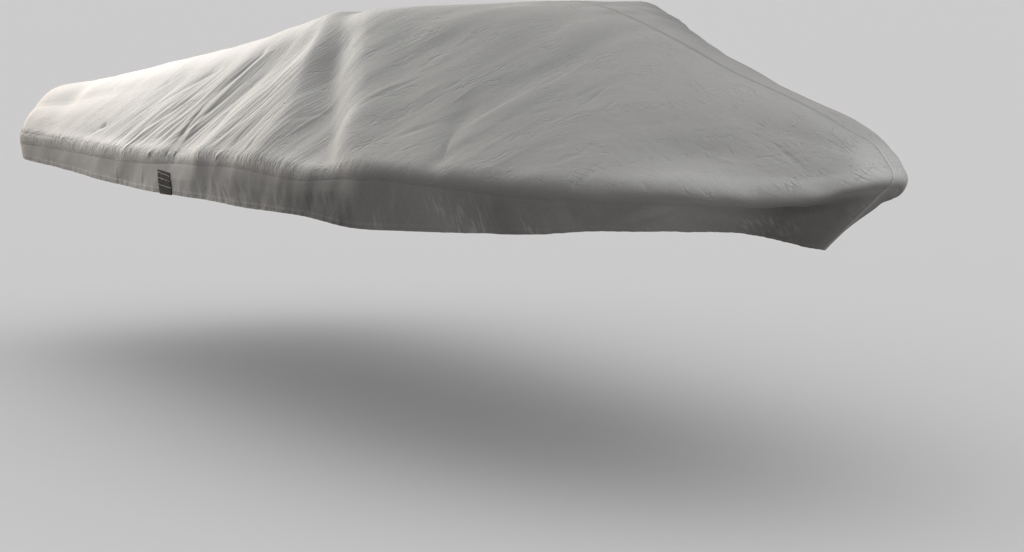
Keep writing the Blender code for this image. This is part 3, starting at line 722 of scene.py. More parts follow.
def layered(tree, base, *layers):
    """The base with each of the (value, weight) layers added to it in turn."""
    for value, weight in layers:
        base = reckon(tree, "MULTIPLY_ADD", value, weight, base)
    return base


def axis_of(tree, vector, axis):
    return add_node(tree, "ShaderNodeSeparateXYZ", {0: vector}).outputs[axis]


def noise(tree, vector, scale, detail=2.0, roughness=0.5):
    """Noise from about -1 to 1. scale is about how many features there are in a unit of each of its axes."""
    scaled = add_node(tree, "ShaderNodeVectorMath", {0: vector, 1: (*scale, 1)[:3]}, operation="MULTIPLY")
    raw = add_node(tree, "ShaderNodeTexNoise", {
        "Vector": scaled.outputs[0], "Scale": 1.0, "Detail": detail, "Roughness": roughness})
    return reckon(tree, "MULTIPLY_ADD", raw.outputs["Fac"], 4.0, -2.0)


def ramp(tree, value, start, end):
    """The value carried evenly from one (value, result) to another, and held beyond them."""
    return add_node(tree, "ShaderNodeMapRange", {
        "Value": value, "From Min": start[0], "From Max": end[0], "To Min": start[1], "To Max": end[1],
    }).outputs[0]


def run_of_ramps(tree, value, points):
    """A number that follows straight lines between (value, result) points, and is held beyond them."""
    total = points[0][1]
    for (start, low), (end, high) in zip(points, points[1:]):
        total = reckon(tree, "ADD", ramp(tree, value, (start, 0.0), (end, high - low)), total)
    return total


def overlap(tree, *runs):
    """Product of several runs of ramps, each given as its value and its points."""
    return product(tree, *(run_of_ramps(tree, value, points) for value, points in runs))


def thin_lines(tree, vector, scale, width=0.5):
    """Thin raised lines, 0 to 1. scale is about how many there are in a unit of each axis."""
    off = reckon(tree, "ABSOLUTE", noise(tree, vector, scale))
    return reckon(tree, "POWER", ramp(tree, off, (0.0, 1.0), (width, 0.0)), 2.0)


def slanted(tree, vector, slope):
    """The flat vector with its second axis tilted by a slope along its first."""
    parts = add_node(tree, "ShaderNodeSeparateXYZ", {0: vector}).outputs
    tilted = reckon(tree, "MULTIPLY_ADD", parts["X"], slope, parts["Y"])
    return add_node(tree, "ShaderNodeCombineXYZ", {"X": parts["X"], "Y": tilted}).outputs[0]


def new_material(name, colour, roughness):
    material = bpy.data.materials.new(name)
    material.use_nodes = True
    shader = material.node_tree.nodes["Principled BSDF"]
    shader.inputs["Base Color"].default_value = (*colour, 1)
    shader.inputs["Roughness"].default_value = roughness
    return material, material.node_tree, shader


def tinted(tree, shader, colour, tone):
    """Colour the surface with one colour, made lighter or darker by tone, which is near 1."""
    tint = add_node(tree, "ShaderNodeVectorMath", {0: tuple(colour), "Scale": tone}, operation="SCALE")
    tree.links.new(tint.outputs[0], shader.inputs["Base Color"])


def embossed(tree, shader, height, distance):
    bump = add_node(tree, "ShaderNodeBump", {"Height": height, "Distance": distance, "Strength": 1.0})
    tree.links.new(bump.outputs[0], shader.inputs["Normal"])


def plain_weave(tree, uv, pitch):
    """Height of a plain weave, whose yarns pass over and under in turn: -1 to 1."""
    parts = add_node(tree, "ShaderNodeSeparateXYZ", {0: uv}).outputs
    return product(tree, *(
        reckon(tree, "SINE", reckon(tree, "MULTIPLY", parts[axis], np.pi / pitch)) for axis in ("X", "Y")))


# How the cloth's own numbers are set on its shader.
CLOTH_ROUGHNESS = 0.82
CLOTH_SHADER = {"Specular IOR Level": 0.25, "Sheen Weight": 0.03, "Sheen Roughness": 0.45}
CLOTH_RELIEF = 0.001  # height that a relief of 1 stands for

# How far further sets of lines turn from the lines of tension
CROSS_SLANT = 0.45
WRINKLE_SLANT = 0.4
CROSS_WRINKLE_SLANT = -1.3

# How strongly each mark shows, as straight runs between (girth, share) or (height, share) points
SEAM_GATHERS = ((1.3, 1.7), (1.8, 1.0), (3.8, 1.0), (4.9, 0.1))
# painted highlight along the band just above the gunwale seam, where the roll stands out
GUNWALE_HIGHLIGHT_GIRTH = ((0.8, 0.0), (1.2, 1.0), (2.5, 1.0), (2.9, 0.0))
GUNWALE_HIGHLIGHT_HEIGHT = ((0.02, 0.0), (0.04, 1.0), (0.07, 1.0), (0.14, 0.0))
# painted highlight on the lit flank of the ridge over the windshield's post
POST_HIGHLIGHT_GIRTH = ((4.34, 0.0), (4.44, 1.0), (4.56, 1.0), (4.68, 0.0))
POST_HIGHLIGHT_HEIGHT = ((-0.02, 0.0), (0.04, 1.0), (0.52, 1.0), (0.70, 0.0))
POST_HIGHLIGHT_LEAN = 0.80  # how far the painted highlight over the post leans aft as it rises
# painted shade of the trough beside the post; being in the shared material, it lies on the port side too
HOLLOW_SHADE_GIRTH = ((4.16, 0.0), (4.25, 1.0), (4.31, 1.0), (4.40, 0.0))
HOLLOW_SHADE_HEIGHT = ((0.50, 0.0), (0.64, 1.0), (0.85, 1.0), (1.0, 0.0))
HOLLOW_SHADE_LEAN = 0.62

# Painted shade of the whole cloth along its girth, darkest over the foredeck; how strongly the painted shade
# under the gunwale seam shows along it; and the painted shade, with one painted lighter patch, on the skirt
PAINTED_SHADE_GIRTH = ((4.1, 1.0), (4.6, 0.84), (5.4, 0.85), (6.2, 0.95), (6.7, 0.98))
UNDER_SEAM_SHADE = ((2.7, 1.0), (3.1, 0.4), (3.8, 0.5), (4.1, 1.0), (4.7, 0.0))
SKIRT_PAINTED_SHADE = (
    (2.95, 0.0), (3.30, 0.0), (3.60, -0.22), (4.10, -0.36), (4.46, -0.42), (4.56, -0.10), (4.80, -0.08),
    (5.05, 0.08), (5.35, -0.20), (5.65, -0.02), (5.90, -0.16), (6.15, -0.04), (6.40, -0.20), (6.60, -0.60),
    (6.84, -0.55), (6.92, -0.35),
)

# A point's flat place on the cloth, its place along the lines of tension, and its girth and height alone.
# ragged is its height with the seam's uneven edge.
ClothPlace = namedtuple("ClothPlace", "uv pull girth height ragged")


def cloth_place(tree):
    uv, pull = (add_node(tree, "ShaderNodeUVMap", uv_map=name).outputs[0] for name in ("cloth", "pull"))
    height = axis_of(tree, uv, "Y")
    ragged = layered(tree, height, (noise(tree, uv, (60, 4)), 0.016))
    return ClothPlace(uv, pull, axis_of(tree, pull, "X"), height, ragged)


def cloth_marks(tree, place):
    """Tone layers: scuffs on the skirt, painted highlights above the seam and over the post, painted shade
    by the post.
    """
    girth, height = place.girth, place.height
    # painted highlight on the band above the gunwale seam
    gunwale_highlight = overlap(tree, (girth, GUNWALE_HIGHLIGHT_GIRTH), (height, GUNWALE_HIGHLIGHT_HEIGHT))
    scuffs = product(
        tree,
        ramp(tree, noise(tree, place.uv, (70, 11)), (0.02, 0.0), (0.5, 1.0)),
        ramp(tree, noise(tree, place.uv, (6, 3)), (0.0, 0.1), (0.4, 1.0)),
        ramp(tree, height, (-0.06, 0.0), (-0.16, 1.0)))
    post_highlight_girth, hollow_shade_girth = (layered(tree, girth, (height, lean)) for lean in (POST_HIGHLIGHT_LEAN, HOLLOW_SHADE_LEAN))
    # painted highlight over the post
    post = overlap(tree, (post_highlight_girth, POST_HIGHLIGHT_GIRTH), (height, POST_HIGHLIGHT_HEIGHT))
    # painted shade of the hollow beside the post
    hollow = overlap(tree, (hollow_shade_girth, HOLLOW_SHADE_GIRTH), (height, HOLLOW_SHADE_HEIGHT))
    return (gunwale_highlight, 0.14), (scuffs, 0.42), (post, 0.24), (hollow, -0.34)


def cloth_shade(tree, place):
    """Painted shade on the skirt, under the seam and over the foredeck; painted light on top and above the
    bow.
    """
    girth, height = place.girth, place.height
    # painted shade darkening the skirt along its girth, with a painted lighter patch near girth 5.05
    skirt_painted_shade = product(
        tree, run_of_ramps(tree, girth, SKIRT_PAINTED_SHADE), ramp(tree, height, (-0.12, 1.0), (-0.03, 0.0)))
    # painted shade just below the gunwale seam, strongest aft and gone forward of the post
    under_seam_shade = product(
        tree, ramp(tree, place.ragged, (-0.008, -0.17), (0.008, 0.0)), run_of_ramps(tree, girth, UNDER_SEAM_SHADE))
    painted_shade = reckon(tree, "ADD", skirt_painted_shade, under_seam_shade)
    # painted shade over the foredeck, along the girth
    shade = reckon(tree, "ADD", painted_shade, run_of_ramps(tree, girth, PAINTED_SHADE_GIRTH))
    # painted highlight on the low cloth above the bow's roll
    bow_highlight = ramp(tree, height, (0.06, 0.18), (0.20, 0.0)), ramp(tree, girth, (5.7, 0.0), (6.1, 1.0))
    # painted light: the cloth grows paler towards the top
    return product(tree, layered(tree, shade, bow_highlight), ramp(tree, height, (0.35, 1.0), (0.95, 1.22)))


def cloth_crumple(tree, place, pull_lines, patches):
    """Relief of creases too fine to model: lines along the pull, then short broken wrinkles."""
    girth, pull = place.girth, place.pull
    streaks = noise(tree, pull, (9, 75), 3.0, 0.6)
    cross_lines = thin_lines(tree, slanted(tree, pull, CROSS_SLANT), (6.0, 34))
    pulled = ramp(tree, girth, (1.4, 0.25), (2.3, 1.0))
    taut = ramp(tree, girth, (4.0, 0.9), (4.9, 0.2))
    slack = ramp(tree, girth, (3.9, 0.0), (5.2, 1.0))
    wrinkles = reckon(tree, "ADD", thin_lines(tree, pull, (4.5, 17), 0.16),
                      thin_lines(tree, slanted(tree, pull, WRINKLE_SLANT), (3.5, 12), 0.12))
    cross_wrinkles = thin_lines(tree, slanted(tree, pull, CROSS_WRINKLE_SLANT), (7.0, 10), 0.14)
    breaks = product(tree, ramp(tree, noise(tree, place.uv, (7, 7), 1.0), (-0.1, 0.0), (0.4, 1.0)),
                     ramp(tree, girth, (2.2, 0.6), (4.8, 1.5)))
    lines = product(tree, layered(tree, pull_lines, (streaks, 0.35)), taut)
    lines = layered(tree, lines, (product(tree, cross_lines, slack), 0.20))
    lines = product(tree, lines, product(tree, patches, pulled))
    broken = product(tree, breaks, layered(tree, wrinkles, (cross_wrinkles, slack)))
    above_seam = ramp(tree, place.height, (-0.04, 0.12), (0.01, 1.0))
    return product(tree, layered(tree, lines, (broken, 0.9)), above_seam)


@lru_cache(maxsize=None)
def cloth_material(name="cover_cloth", fading=1.0):
    """Woven polyester, finely crumpled along the lines of tension, mottled, with painted shade and light."""
    cloth = look("cloth")
    # a fading above 1 makes a paler copy of the cloth: the centre seam's painted highlight
    colour = [fading * part for part in cloth.colour]
    material, tree, shader = new_material(name, colour, CLOTH_ROUGHNESS)
    for setting, value in CLOTH_SHADER.items():
        shader.inputs[setting].default_value = value
    place = cloth_place(tree)
    slubs = reckon(tree, "ADD", noise(tree, place.uv, (30, 260)), noise(tree, place.uv, (240, 34)))
    blotches = noise(tree, place.uv, (2.6, 3.4), 4.0)
    grain = noise(tree, place.uv, (110, 110), 3.0, 0.6)
    pull_lines = thin_lines(tree, place.pull, (3.5, 42))
    patches = ramp(tree, noise(tree, place.pull, (2.2, 5.0), 1.0), (-0.9, 0.35), (0.5, 1.0))
    near_seam = reckon(tree, "MINIMUM", ramp(tree, place.ragged, (-0.035, 0.0), (-0.005, 1.0)),
                       ramp(tree, place.ragged, (0.010, 1.0), (0.060, 0.0)))
    near_seam = product(tree, near_seam, run_of_ramps(tree, place.girth, SEAM_GATHERS))
    gathers = product(tree, noise(tree, place.uv, (120, 14)), near_seam)

    # The gathers' tone follows their relief: painted highlight on the raised puckers, painted shade in the
    # sunken ones.
    tone = layered(tree, 1.0, (slubs, 0.035), (blotches, 0.035), (grain, 0.060),
                   (product(tree, pull_lines, patches), 0.05), (gathers, 0.07), *cloth_marks(tree, place))
    tinted(tree, shader, colour, product(tree, tone, cloth_shade(tree, place)))

    weave = reckon(tree, "MULTIPLY", plain_weave(tree, place.uv, cloth.weave_pitch), 0.05)
    relief = layered(tree, weave, (slubs, 0.05), (grain, 0.15), (gathers, 1.50))
    crumple = cloth_crumple(tree, place, pull_lines, patches)
    embossed(tree, shader, reckon(tree, "ADD", relief, crumple), CLOTH_RELIEF)
    return material


WEBBING_RELIEF = 0.0002
TWIST_RELIEF = 0.0001
TWIST_SCALE = (900, 900, 900)
RUST_COLOUR = (0.16, 0.045, 0.025, 1.0)
RUST_PLACE, RUST_REACH = (0.030, 0.001, 0.0), 0.009  # from the patch's lower aft corner


@lru_cache(maxsize=None)
def webbing_material():
    """Near-black ribbed webbing, dusty in places, with a rust-brown stain at its foot."""
    strap = look("straps")
    material, tree, shader = new_material("strap_webbing", strap.colour, 0.9)
    shader.inputs["Specular IOR Level"].default_value = 0.15
    uv = add_node(tree, "ShaderNodeUVMap", uv_map="cloth").outputs[0]
    phase = reckon(tree, "MULTIPLY", axis_of(tree, uv, "Y"), np.pi / strap.rib_pitch)
    rib = reckon(tree, "ABSOLUTE", reckon(tree, "SINE", phase))
    twill = plain_weave(tree, uv, strap.rib_pitch / 2)
    dust = noise(tree, uv, (60, 60), 4.0)
    tinted(tree, shader, strap.colour, layered(tree, 1.0, (dust, 0.16), (rib, 0.25)))
    webbing = shader.inputs["Base Color"].links[0].from_socket
    away = add_node(tree, "ShaderNodeVectorMath", {0: uv, 1: RUST_PLACE}, operation="DISTANCE")
    stain = ramp(tree, away.outputs["Value"], (0.5 * RUST_REACH, 1.0), (RUST_REACH, 0.0))
    stain = layered(tree, stain, (dust, 0.2))
    stained = add_node(tree, "ShaderNodeMix", {"Factor": stain}, data_type="RGBA", clamp_factor=True)
    first, second = [socket for socket in stained.inputs if socket.type == "RGBA"]
    tree.links.new(webbing, first)
    second.default_value = RUST_COLOUR
    result = next(socket for socket in stained.outputs if socket.type == "RGBA")
    tree.links.new(result, shader.inputs["Base Color"])
    embossed(tree, shader, layered(tree, rib, (twill, 0.3)), WEBBING_RELIEF)
    return material


def thread_material(name, colour):
    """Twisted thread, lighter and darker by turns."""
    material, tree, shader = new_material(name, colour, 0.6)
    place = add_node(tree, "ShaderNodeTexCoord").outputs["Object"]
    twist = noise(tree, place, TWIST_SCALE, 1.0)
    tinted(tree, shader, colour, layered(tree, 1.0, (twist, 0.10)))
    embossed(tree, shader, twist, TWIST_RELIEF)
    return material


# --- cloth ------------------------------------------------------------------------------------------------

SHARP_EDGE = np.radians(62)
HEM_LIFT = 0.0007  # how far the doubled hem stands out
LAP_TAPER = 0.0008  # how much the lap thins at its edge, where it lies flush with the skirt
CREASE_FREE = 0.03  # half breadth within which creases die away towards the centre seam
CREASE_SEEDS = {"starboard": 11, "port": 23}
EVEN_GIRTH = 3.0  # where lengths along the rows are measured from

Sheet = namedtuple("Sheet", "points normals girth height")
Skin = namedtuple("Skin", "outer inner outward maps")


@lru_cache(maxsize=None)
def folded_sheet(side_name, part):
    """One side's sheet with its main folds, still mirrored to starboard."""
    rows = PART_ROWS[part]
    points, girth, height = smooth_sheet(rows)
    folds = main_folds(points, SIDES[side_name]) * read(FOLD_SHARE, height)
    if side_name == "starboard":
        folds += windshield_fold(girth, height)
    points = points + outward_normals(points) * folds[..., None]
    drop = np.array([{"skirt": share, "hem": 1.0}.get(run, 0.0) for run, share in rows])
    first, second = SWAY_HALF_WAVES[side_name]
    sway = np.sin(first * np.pi * girth) + SECOND_SWAY * np.sin(second * np.pi * girth)
    sway = sway * np.sin(np.pi * girth / girth[-1, -1]) * SKIRT_SWAY * drop
    points = points + outward_normals(points) * sway[..., None]
    return Sheet(points, outward_normals(points), girth, height)


@lru_cache(maxsize=None)
def fine_lift(side_name, part):
    """Height of all creases, gathers and soft waves at the points of one side's top or skirt."""
    sheet = folded_sheet(side_name, part)
    random = np.random.default_rng(CREASE_SEEDS[side_name])
    skirt = folded_sheet(side_name, "skirt")
    hem_height = (skirt.girth[:, -1], skirt.height[:, -1])
    creases = list(HAND_CREASES[side_name])
    creases += pulled_creases(random)
    creases += crumpled_creases(random)
    creases += gathered_creases(random, look("cloth").gather_depth)
    creases += hem_creases(random, hem_height)
    creases += skirt_creases(random)
    lift = crease_heights(sheet.girth, sheet.height, creases) + gunwale_roll(sheet.girth, sheet.height)
    lift = lift + soft_waves(sheet.girth, sheet.height, random)
    return lift * np.clip(np.abs(sheet.points[..., 1]) / CREASE_FREE, 0, 1)


def nearby(values, reach, pick):
    """What pick makes of the values within so many lines of each line of a grid, both ways."""
    padded = np.pad(values, reach, mode="edge")
    rows, columns = values.shape
    steps = range(2 * reach + 1)
    return pick([padded[i:i + rows, j:j + columns] for i in steps for j in steps], axis=0)


def refined(grid, every):
    """A coarse grid of points with lines filled in evenly, so that each step becomes every steps."""
    share = (np.arange(every) / every)[:, None, None]
    for _ in range(2):
        filled = grid[:-1, None] + np.diff(grid, axis=0)[:, None] * share
        grid = np.concatenate([filled.reshape(-1, *grid.shape[1:]), grid[-1:]]).swapaxes(0, 1)
    return grid


def standing_off(points, sheet):
    """How far points lie outside a sheet, measured along its normals."""
    return np.einsum("ijk,ijk->ij", points - sheet.points, sheet.normals)


def inner_skin(sheet, lift, thickness):
    """Inner skin on one line in INNER_EVERY, sunk so that it clears the hollows of the outer one."""
    every = INNER_EVERY
    outer = sheet.points + sheet.normals * lift[..., None]
    chords = refined(outer[::every, ::every], every)
    excess = np.maximum(standing_off(chords, sheet) - lift, 0)
    under = lift - thickness - nearby(excess, every, np.max)
    return (sheet.points + sheet.normals * under[..., None])[::every, ::every]


def keep_off_centre(points, side):
    """Leave half a seam gap between a piece and the centre plane."""
    points = points.copy()
    points[..., 1] = side * np.maximum(side * points[..., 1], SEAM_GAP / 2)
    return points


@lru_cache(maxsize=None)
def worked_skin(side_name, part):
    """Outer and inner skin of one side's top or skirt, in place, with their places on the flat cloth."""
    sheet = folded_sheet(side_name, part)
    thickness = look("cloth").thickness
    lift = fine_lift(side_name, part)
    runs = np.array([run for run, share in PART_ROWS[part]])
    if part == "skirt":
        top = folded_sheet(side_name, "top")
        lining = refined(inner_skin(top, fine_lift(side_name, "top"), thickness), INNER_EVERY)
        lift = lift - LAP_TAPER + HEM_LIFT * (runs == "hem")
        lap = ROW_STEPS["lap"] + 1
        lift[:, :lap] = standing_off(lining, top)[:, -lap:] - SEAM_GAP
    inner = inner_skin(sheet, lift, thickness)
    if part == "top":
        lap_shares = np.array([share if run == "lap" else 0.0 for run, share in PART_ROWS[part]])
        lift = lift - LAP_TAPER * lap_shares
    outer = sheet.points + sheet.normals * lift[..., None]
    side = SIDES[side_name]
    mirror = np.array([1, -side, 1])
    outer, inner = (keep_off_centre((skin - REST) * mirror, side) for skin in (outer, inner))
    steps = np.linalg.norm(np.diff(sheet.points, axis=0), axis=-1)
    along = np.vstack([np.zeros(steps.shape[1]), np.cumsum(steps, axis=0)])
    even = np.argmin(np.abs(sheet.girth[:, -1] - EVEN_GIRTH))
    along = along - along[even] + EVEN_GIRTH
    maps = {
        "cloth": np.stack([along, sheet.height], -1),
        "pull": np.stack([sheet.girth, sheet.height - pull_rise(sheet.girth)], -1),
    }
    return Skin(outer, inner, sheet.normals * mirror, maps)


def placed(name, data):
    """New object in the scene that shows this mesh, lamp or camera."""
    item = bpy.data.objects.new(name, data)
    bpy.context.scene.collection.objects.link(item)
    return item


def link_mesh(name, points, faces, maps, material):
    """Mesh object from arrays. maps holds the UV maps by name, with one place for each point."""
    mesh = bpy.data.meshes.new(name)
    mesh.from_pydata(points.tolist(), [], faces)
    corner_points = np.empty(len(mesh.loops), np.int32)
    mesh.loops.foreach_get("vertex_index", corner_points)
    for map_name, places in maps.items():
        layer = mesh.uv_layers.new(name=map_name)
        layer.data.foreach_set("uv", places[corner_points].astype(np.float32).ravel())
    mesh.materials.append(material)
    mesh.shade_smooth()
    mesh.set_sharp_from_angle(angle=SHARP_EDGE)
    return placed(name, mesh)


def grid_faces(indices, flip):
    corners = np.stack([indices[:-1, :-1], indices[1:, :-1], indices[1:, 1:], indices[:-1, 1:]], -1)
    return (corners[..., ::-1] if flip else corners).reshape(-1, 4).tolist()


def border(indices):
    """The indices round the edge of a grid."""
    return np.concatenate([indices[:-1, 0], indices[-1, :-1], indices[:0:-1, -1], indices[0, :0:-1]])


def closed_sheet(name, outer, inner, every, maps, flip, material):
    """Thin closed sheet between two grids of points, of which the inner keeps one line in every."""
    outer_index = np.arange(outer[..., 0].size).reshape(outer.shape[:2])
    inner_index = outer_index.size + np.arange(inner[..., 0].size).reshape(inner.shape[:2])
    faces = grid_faces(outer_index, flip) + grid_faces(inner_index, not flip)
    outer_rim, inner_rim = border(outer_index), border(inner_index)
    for k, start in enumerate(inner_rim):
        end = inner_rim[(k + 1) % len(inner_rim)]
        edge = [outer_rim[(k * every + step) % len(outer_rim)] for step in range(every + 1)]
        rim = [(b, a, start) for a, b in zip(edge[:-1], edge[1:])] + [(edge[-1], start, end)]
        faces += [tuple(int(corner) for corner in (face[::-1] if flip else face)) for face in rim]
    points = np.concatenate([outer.reshape(-1, 3), inner.reshape(-1, 3)])
    maps = {map_name: np.concatenate([places.reshape(-1, 2), places[::every, ::every].reshape(-1, 2)])
            for map_name, places in maps.items()}
    return link_mesh(name, points, faces, maps, material)


def make_cloth(part, side_name):
    skin = worked_skin(side_name, part)
    piece = closed_sheet(f"{part}_cloth_{side_name}", skin.outer, skin.inner, INNER_EVERY, skin.maps,
                         SIDES[side_name] > 0, cloth_material())
    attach(piece, "root")
    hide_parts(f"{part}_{side_name}")


class BOATCOVER_OT_tops(bpy.types.Operator):
    """Make the two halves of the top, with their folds, creases and gathers."""

    bl_idname = "boat_cover.tops"
    bl_label = "Top halves"

    def execute(self, context):
        for side_name in SIDES:
            make_cloth("top", side_name)
        return {"FINISHED"}


class BOATCOVER_OT_skirts(bpy.types.Operator):
    """Make the two halves of the skirt below the gunwale, with their hems."""

    bl_idname = "boat_cover.skirts"
    bl_label = "Skirts"

    def execute(self, context):
        for side_name in SIDES:
            make_cloth("skirt", side_name)
        return {"FINISHED"}


# --- sewing -----------------------------------------------------------------------------------------------

SEAM_STEP = 0.008  # distance between two sections of the centre seam
SEAM_SECTION = np.array([  # share of the half width, height of the seam's top above the cloth
    (-1.0, 0.0006), (-0.72, 0.0010), (-0.36, 0.0013), (0.0, 0.0014), (0.36, 0.0013), (0.72, 0.0010),
    (1.0, 0.0006),
])
SEAM_CLEAR = 0.0003
PAINTED_SEAM_HIGHLIGHT = 1.08  # the raised seam's cloth is painted paler, a painted highlight along it
SEAM_END = 0.002  # how far the seam stops short of the hem's edge
STITCH_COLUMNS = (1, -2)  # the seam's lines that carry stitches
GUNWALE_STITCH_STEPS = (1, 3)  # steps of the lap that carry stitches
HEM_STITCH_STEP = 2
THREAD_SIDES = 5
PROBE = 0.06  # distance from which cloth is looked for


def cloth_tree(piece_name):
    piece = bpy.data.objects[piece_name]
    return BVHTree.FromObject(piece, bpy.context.evaluated_depsgraph_get())


def cloth_below(trees, point, outward):
    """How far outward of the point the cloth's outer skin lies."""
    start = Vector(point + outward * PROBE)
    hits = [tree.ray_cast(start, Vector(-outward), 2 * PROBE)[3] for tree in trees]
    hits = [hit for hit in hits if hit is not None]
    if not hits:
        raise RuntimeError(f"there is no cloth under {tuple(point)}")
    return PROBE - min(hits)


def centre_line():
    """Points of the centreline, from the stern's hem over the top to the stem's hem, and its normals."""
    top, skirt = (folded_sheet("starboard", part) for part in ("top", "skirt"))
    lap = ROW_STEPS["lap"]
    line = np.concatenate([
        skirt.points[0, :lap:-1], top.points[0, :0:-1], top.points[:, 0], top.points[-1, 1:],
        skirt.points[-1, lap + 1:],
    ]) - REST
    run = np.concatenate([[0], np.cumsum(np.linalg.norm(np.diff(line, axis=0), axis=1))])
    stations = np.linspace(SEAM_END, run[-1] - SEAM_END, int(run[-1] / SEAM_STEP) + 1)
    line = np.stack([np.interp(stations, run, line[:, axis]) for axis in range(3)], -1)
    ahead = unit(np.gradient(line, axis=0))
    padded = np.pad(ahead, ((2, 2), (0, 0)), mode="edge")
    ahead = unit(sum(padded[k:k + len(ahead)] for k in range(5)))
    return line, np.stack([-ahead[:, 2], 0 * stations, ahead[:, 0]], -1), stations


@lru_cache(maxsize=None)
def seam_skin():
    """Outer and inner grid of the centre seam, stations by section points, and their flat places."""
    line, outward, stations = centre_line()
    trees = [cloth_tree(f"{part}_cloth_{side_name}") for part in ("top", "skirt") for side_name in SIDES]
    half = look("sewing").seam_width / 2
    across = SEAM_SECTION[:, 0] * half
    places = line[:, None] + across[:, None] * (0, 1, 0)
    middle = len(across) // 2
    heights = np.zeros(places.shape[:2])
    for i, j in np.ndindex(heights.shape):
        if j != middle:
            heights[i, j] = cloth_below(trees, places[i, j], outward[i])
    # between the two halves there is no cloth to meet, so its height there carries on from either side
    crest = [1.5 * heights[:, middle + way] - 0.5 * heights[:, middle + 2 * way] for way in (-1, 1)]
    heights[:, middle] = np.maximum(*crest)
    padded = np.pad(heights, ((1, 1), (0, 0)), mode="edge")
    heights = np.maximum(np.maximum(padded[:-2], padded[2:]), heights)
    outer = places + outward[:, None] * (heights + SEAM_SECTION[:, 1])[..., None]
    inner = places + outward[:, None] * (heights + SEAM_CLEAR)[..., None]
    uvs = np.stack(np.broadcast_arrays(stations[:, None], across[None, :]), -1)
    return outer, inner, outward, uvs


def new_tree(name, inputs):
    """Geometry node tree with named inputs, given as name: (socket kind, default)."""
    tree = bpy.data.node_groups.new(name, "GeometryNodeTree")
    tree.interface.new_socket("Geometry", in_out="INPUT", socket_type="NodeSocketGeometry")
    for input_name, (kind, default) in inputs.items():
        socket = tree.interface.new_socket(input_name, in_out="INPUT", socket_type="NodeSocket" + kind)
        if default is not None:
            socket.default_value = default
    tree.interface.new_socket("Geometry", in_out="OUTPUT", socket_type="NodeSocketGeometry")
    return tree, tree.nodes.new("NodeGroupInput").outputs


@lru_cache(maxsize=None)
def stitch_tree():
    """Rows of stitches along the edges of a mesh, each one a slim spindle of thread."""
    tree, given = new_tree("stitch_rows", {
        "Pitch": ("Float", 0.0055), "Stitch length": ("Float", 0.0043), "Thread radius": ("Float", 0.00045),
        "Slant": ("Float", 0.0), "Facing": ("Vector", (0.0, 0.0, 1.0)), "Unevenness": ("Float", 0.08),
        "Seed": ("Int", 7), "Thread": ("Material", None),
    })
    rows = add_node(tree, "GeometryNodeMeshToCurve", {"Mesh": given["Geometry"]}).outputs[0]
    spaced = {"Curve": rows, "Length": given["Pitch"]}
    points = add_node(tree, "GeometryNodeResampleCurve", spaced, mode="LENGTH")
    ball = add_node(tree, "GeometryNodeMeshUVSphere", {"Segments": THREAD_SIDES, "Rings": 3, "Radius": 1.0})
    ball = add_node(tree, "GeometryNodeSetShadeSmooth", {"Geometry": ball.outputs["Mesh"]}).outputs[0]
    ahead = add_node(tree, "GeometryNodeInputTangent").outputs[0]
    turned = {"Vector": ahead, "Axis": given["Facing"], "Angle": given["Slant"]}
    turned = add_node(tree, "ShaderNodeVectorRotate", turned, rotation_type="AXIS_ANGLE").outputs[0]
    turn_along = add_node(tree, "FunctionNodeAlignRotationToVector", {"Vector": turned}, axis="Z").outputs[0]
    most = reckon(tree, "ADD", 1.0, given["Unevenness"])
    least = reckon(tree, "SUBTRACT", 1.0, given["Unevenness"])
    vary = add_node(tree, "FunctionNodeRandomValue", {"Seed": given["Seed"]}, data_type="FLOAT")
    for socket in vary.inputs:
        if socket.enabled and socket.name in ("Min", "Max"):
            tree.links.new(least if socket.name == "Min" else most, socket)
    factor = next(socket for socket in vary.outputs if socket.enabled)
    half = product(tree, given["Stitch length"], 0.5, factor)
    size = add_node(tree, "ShaderNodeCombineXYZ", {
        "X": given["Thread radius"], "Y": given["Thread radius"], "Z": half}).outputs[0]
    placed = add_node(tree, "GeometryNodeInstanceOnPoints", {
        "Points": points.outputs[0], "Instance": ball, "Rotation": turn_along, "Scale": size}).outputs[0]
    real = add_node(tree, "GeometryNodeRealizeInstances", {"Geometry": placed}).outputs[0]
    painted = add_node(tree, "GeometryNodeSetMaterial", {"Geometry": real, "Material": given["Thread"]})
    add_node(tree, "NodeGroupOutput", {"Geometry": painted.outputs[0]})
    return tree


def settle(piece):
    """Turn what a piece's modifiers make into its own plain mesh, and remove them."""
    depsgraph = bpy.context.evaluated_depsgraph_get()
    mesh = bpy.data.meshes.new_from_object(piece.evaluated_get(depsgraph), depsgraph=depsgraph)
    piece.modifiers.clear()
    piece.data = mesh
    if not mesh.polygons:
        raise RuntimeError(f"{piece.name} came out empty")


def stitch_rows(name, rows, material, slot, **inputs):
    """One piece of thread that holds stitches along each of the rows of points."""
    mesh = bpy.data.meshes.new(name)
    starts = np.concatenate([[0], np.cumsum([len(row) for row in rows])])
    edges = [(k, k + 1) for start, end in zip(starts[:-1], starts[1:]) for k in range(start, end - 1)]
    mesh.from_pydata(np.concatenate(rows).tolist(), edges, [])
    piece = placed(name, mesh)
    modifier = piece.modifiers.new("stitches", "NODES")
    modifier.node_group = stitch_tree()
    values = {"Thread": material, **inputs}
    for item in modifier.node_group.interface.items_tree:
        if item.in_out == "INPUT" and item.name in values:
            modifier[item.identifier] = values[item.name]
    settle(piece)
    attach(piece, "root")


@lru_cache(maxsize=None)
def seam_thread():
    return thread_material("seam_thread", look("sewing").thread_colour)


def seam_stitches(name, rows):
    sewing = look("sewing")
    stitch_rows(name, rows, seam_thread(), "cover_cloth", **{
        "Pitch": sewing.pitch, "Stitch length": sewing.stitch, "Thread radius": sewing.thread / 2})


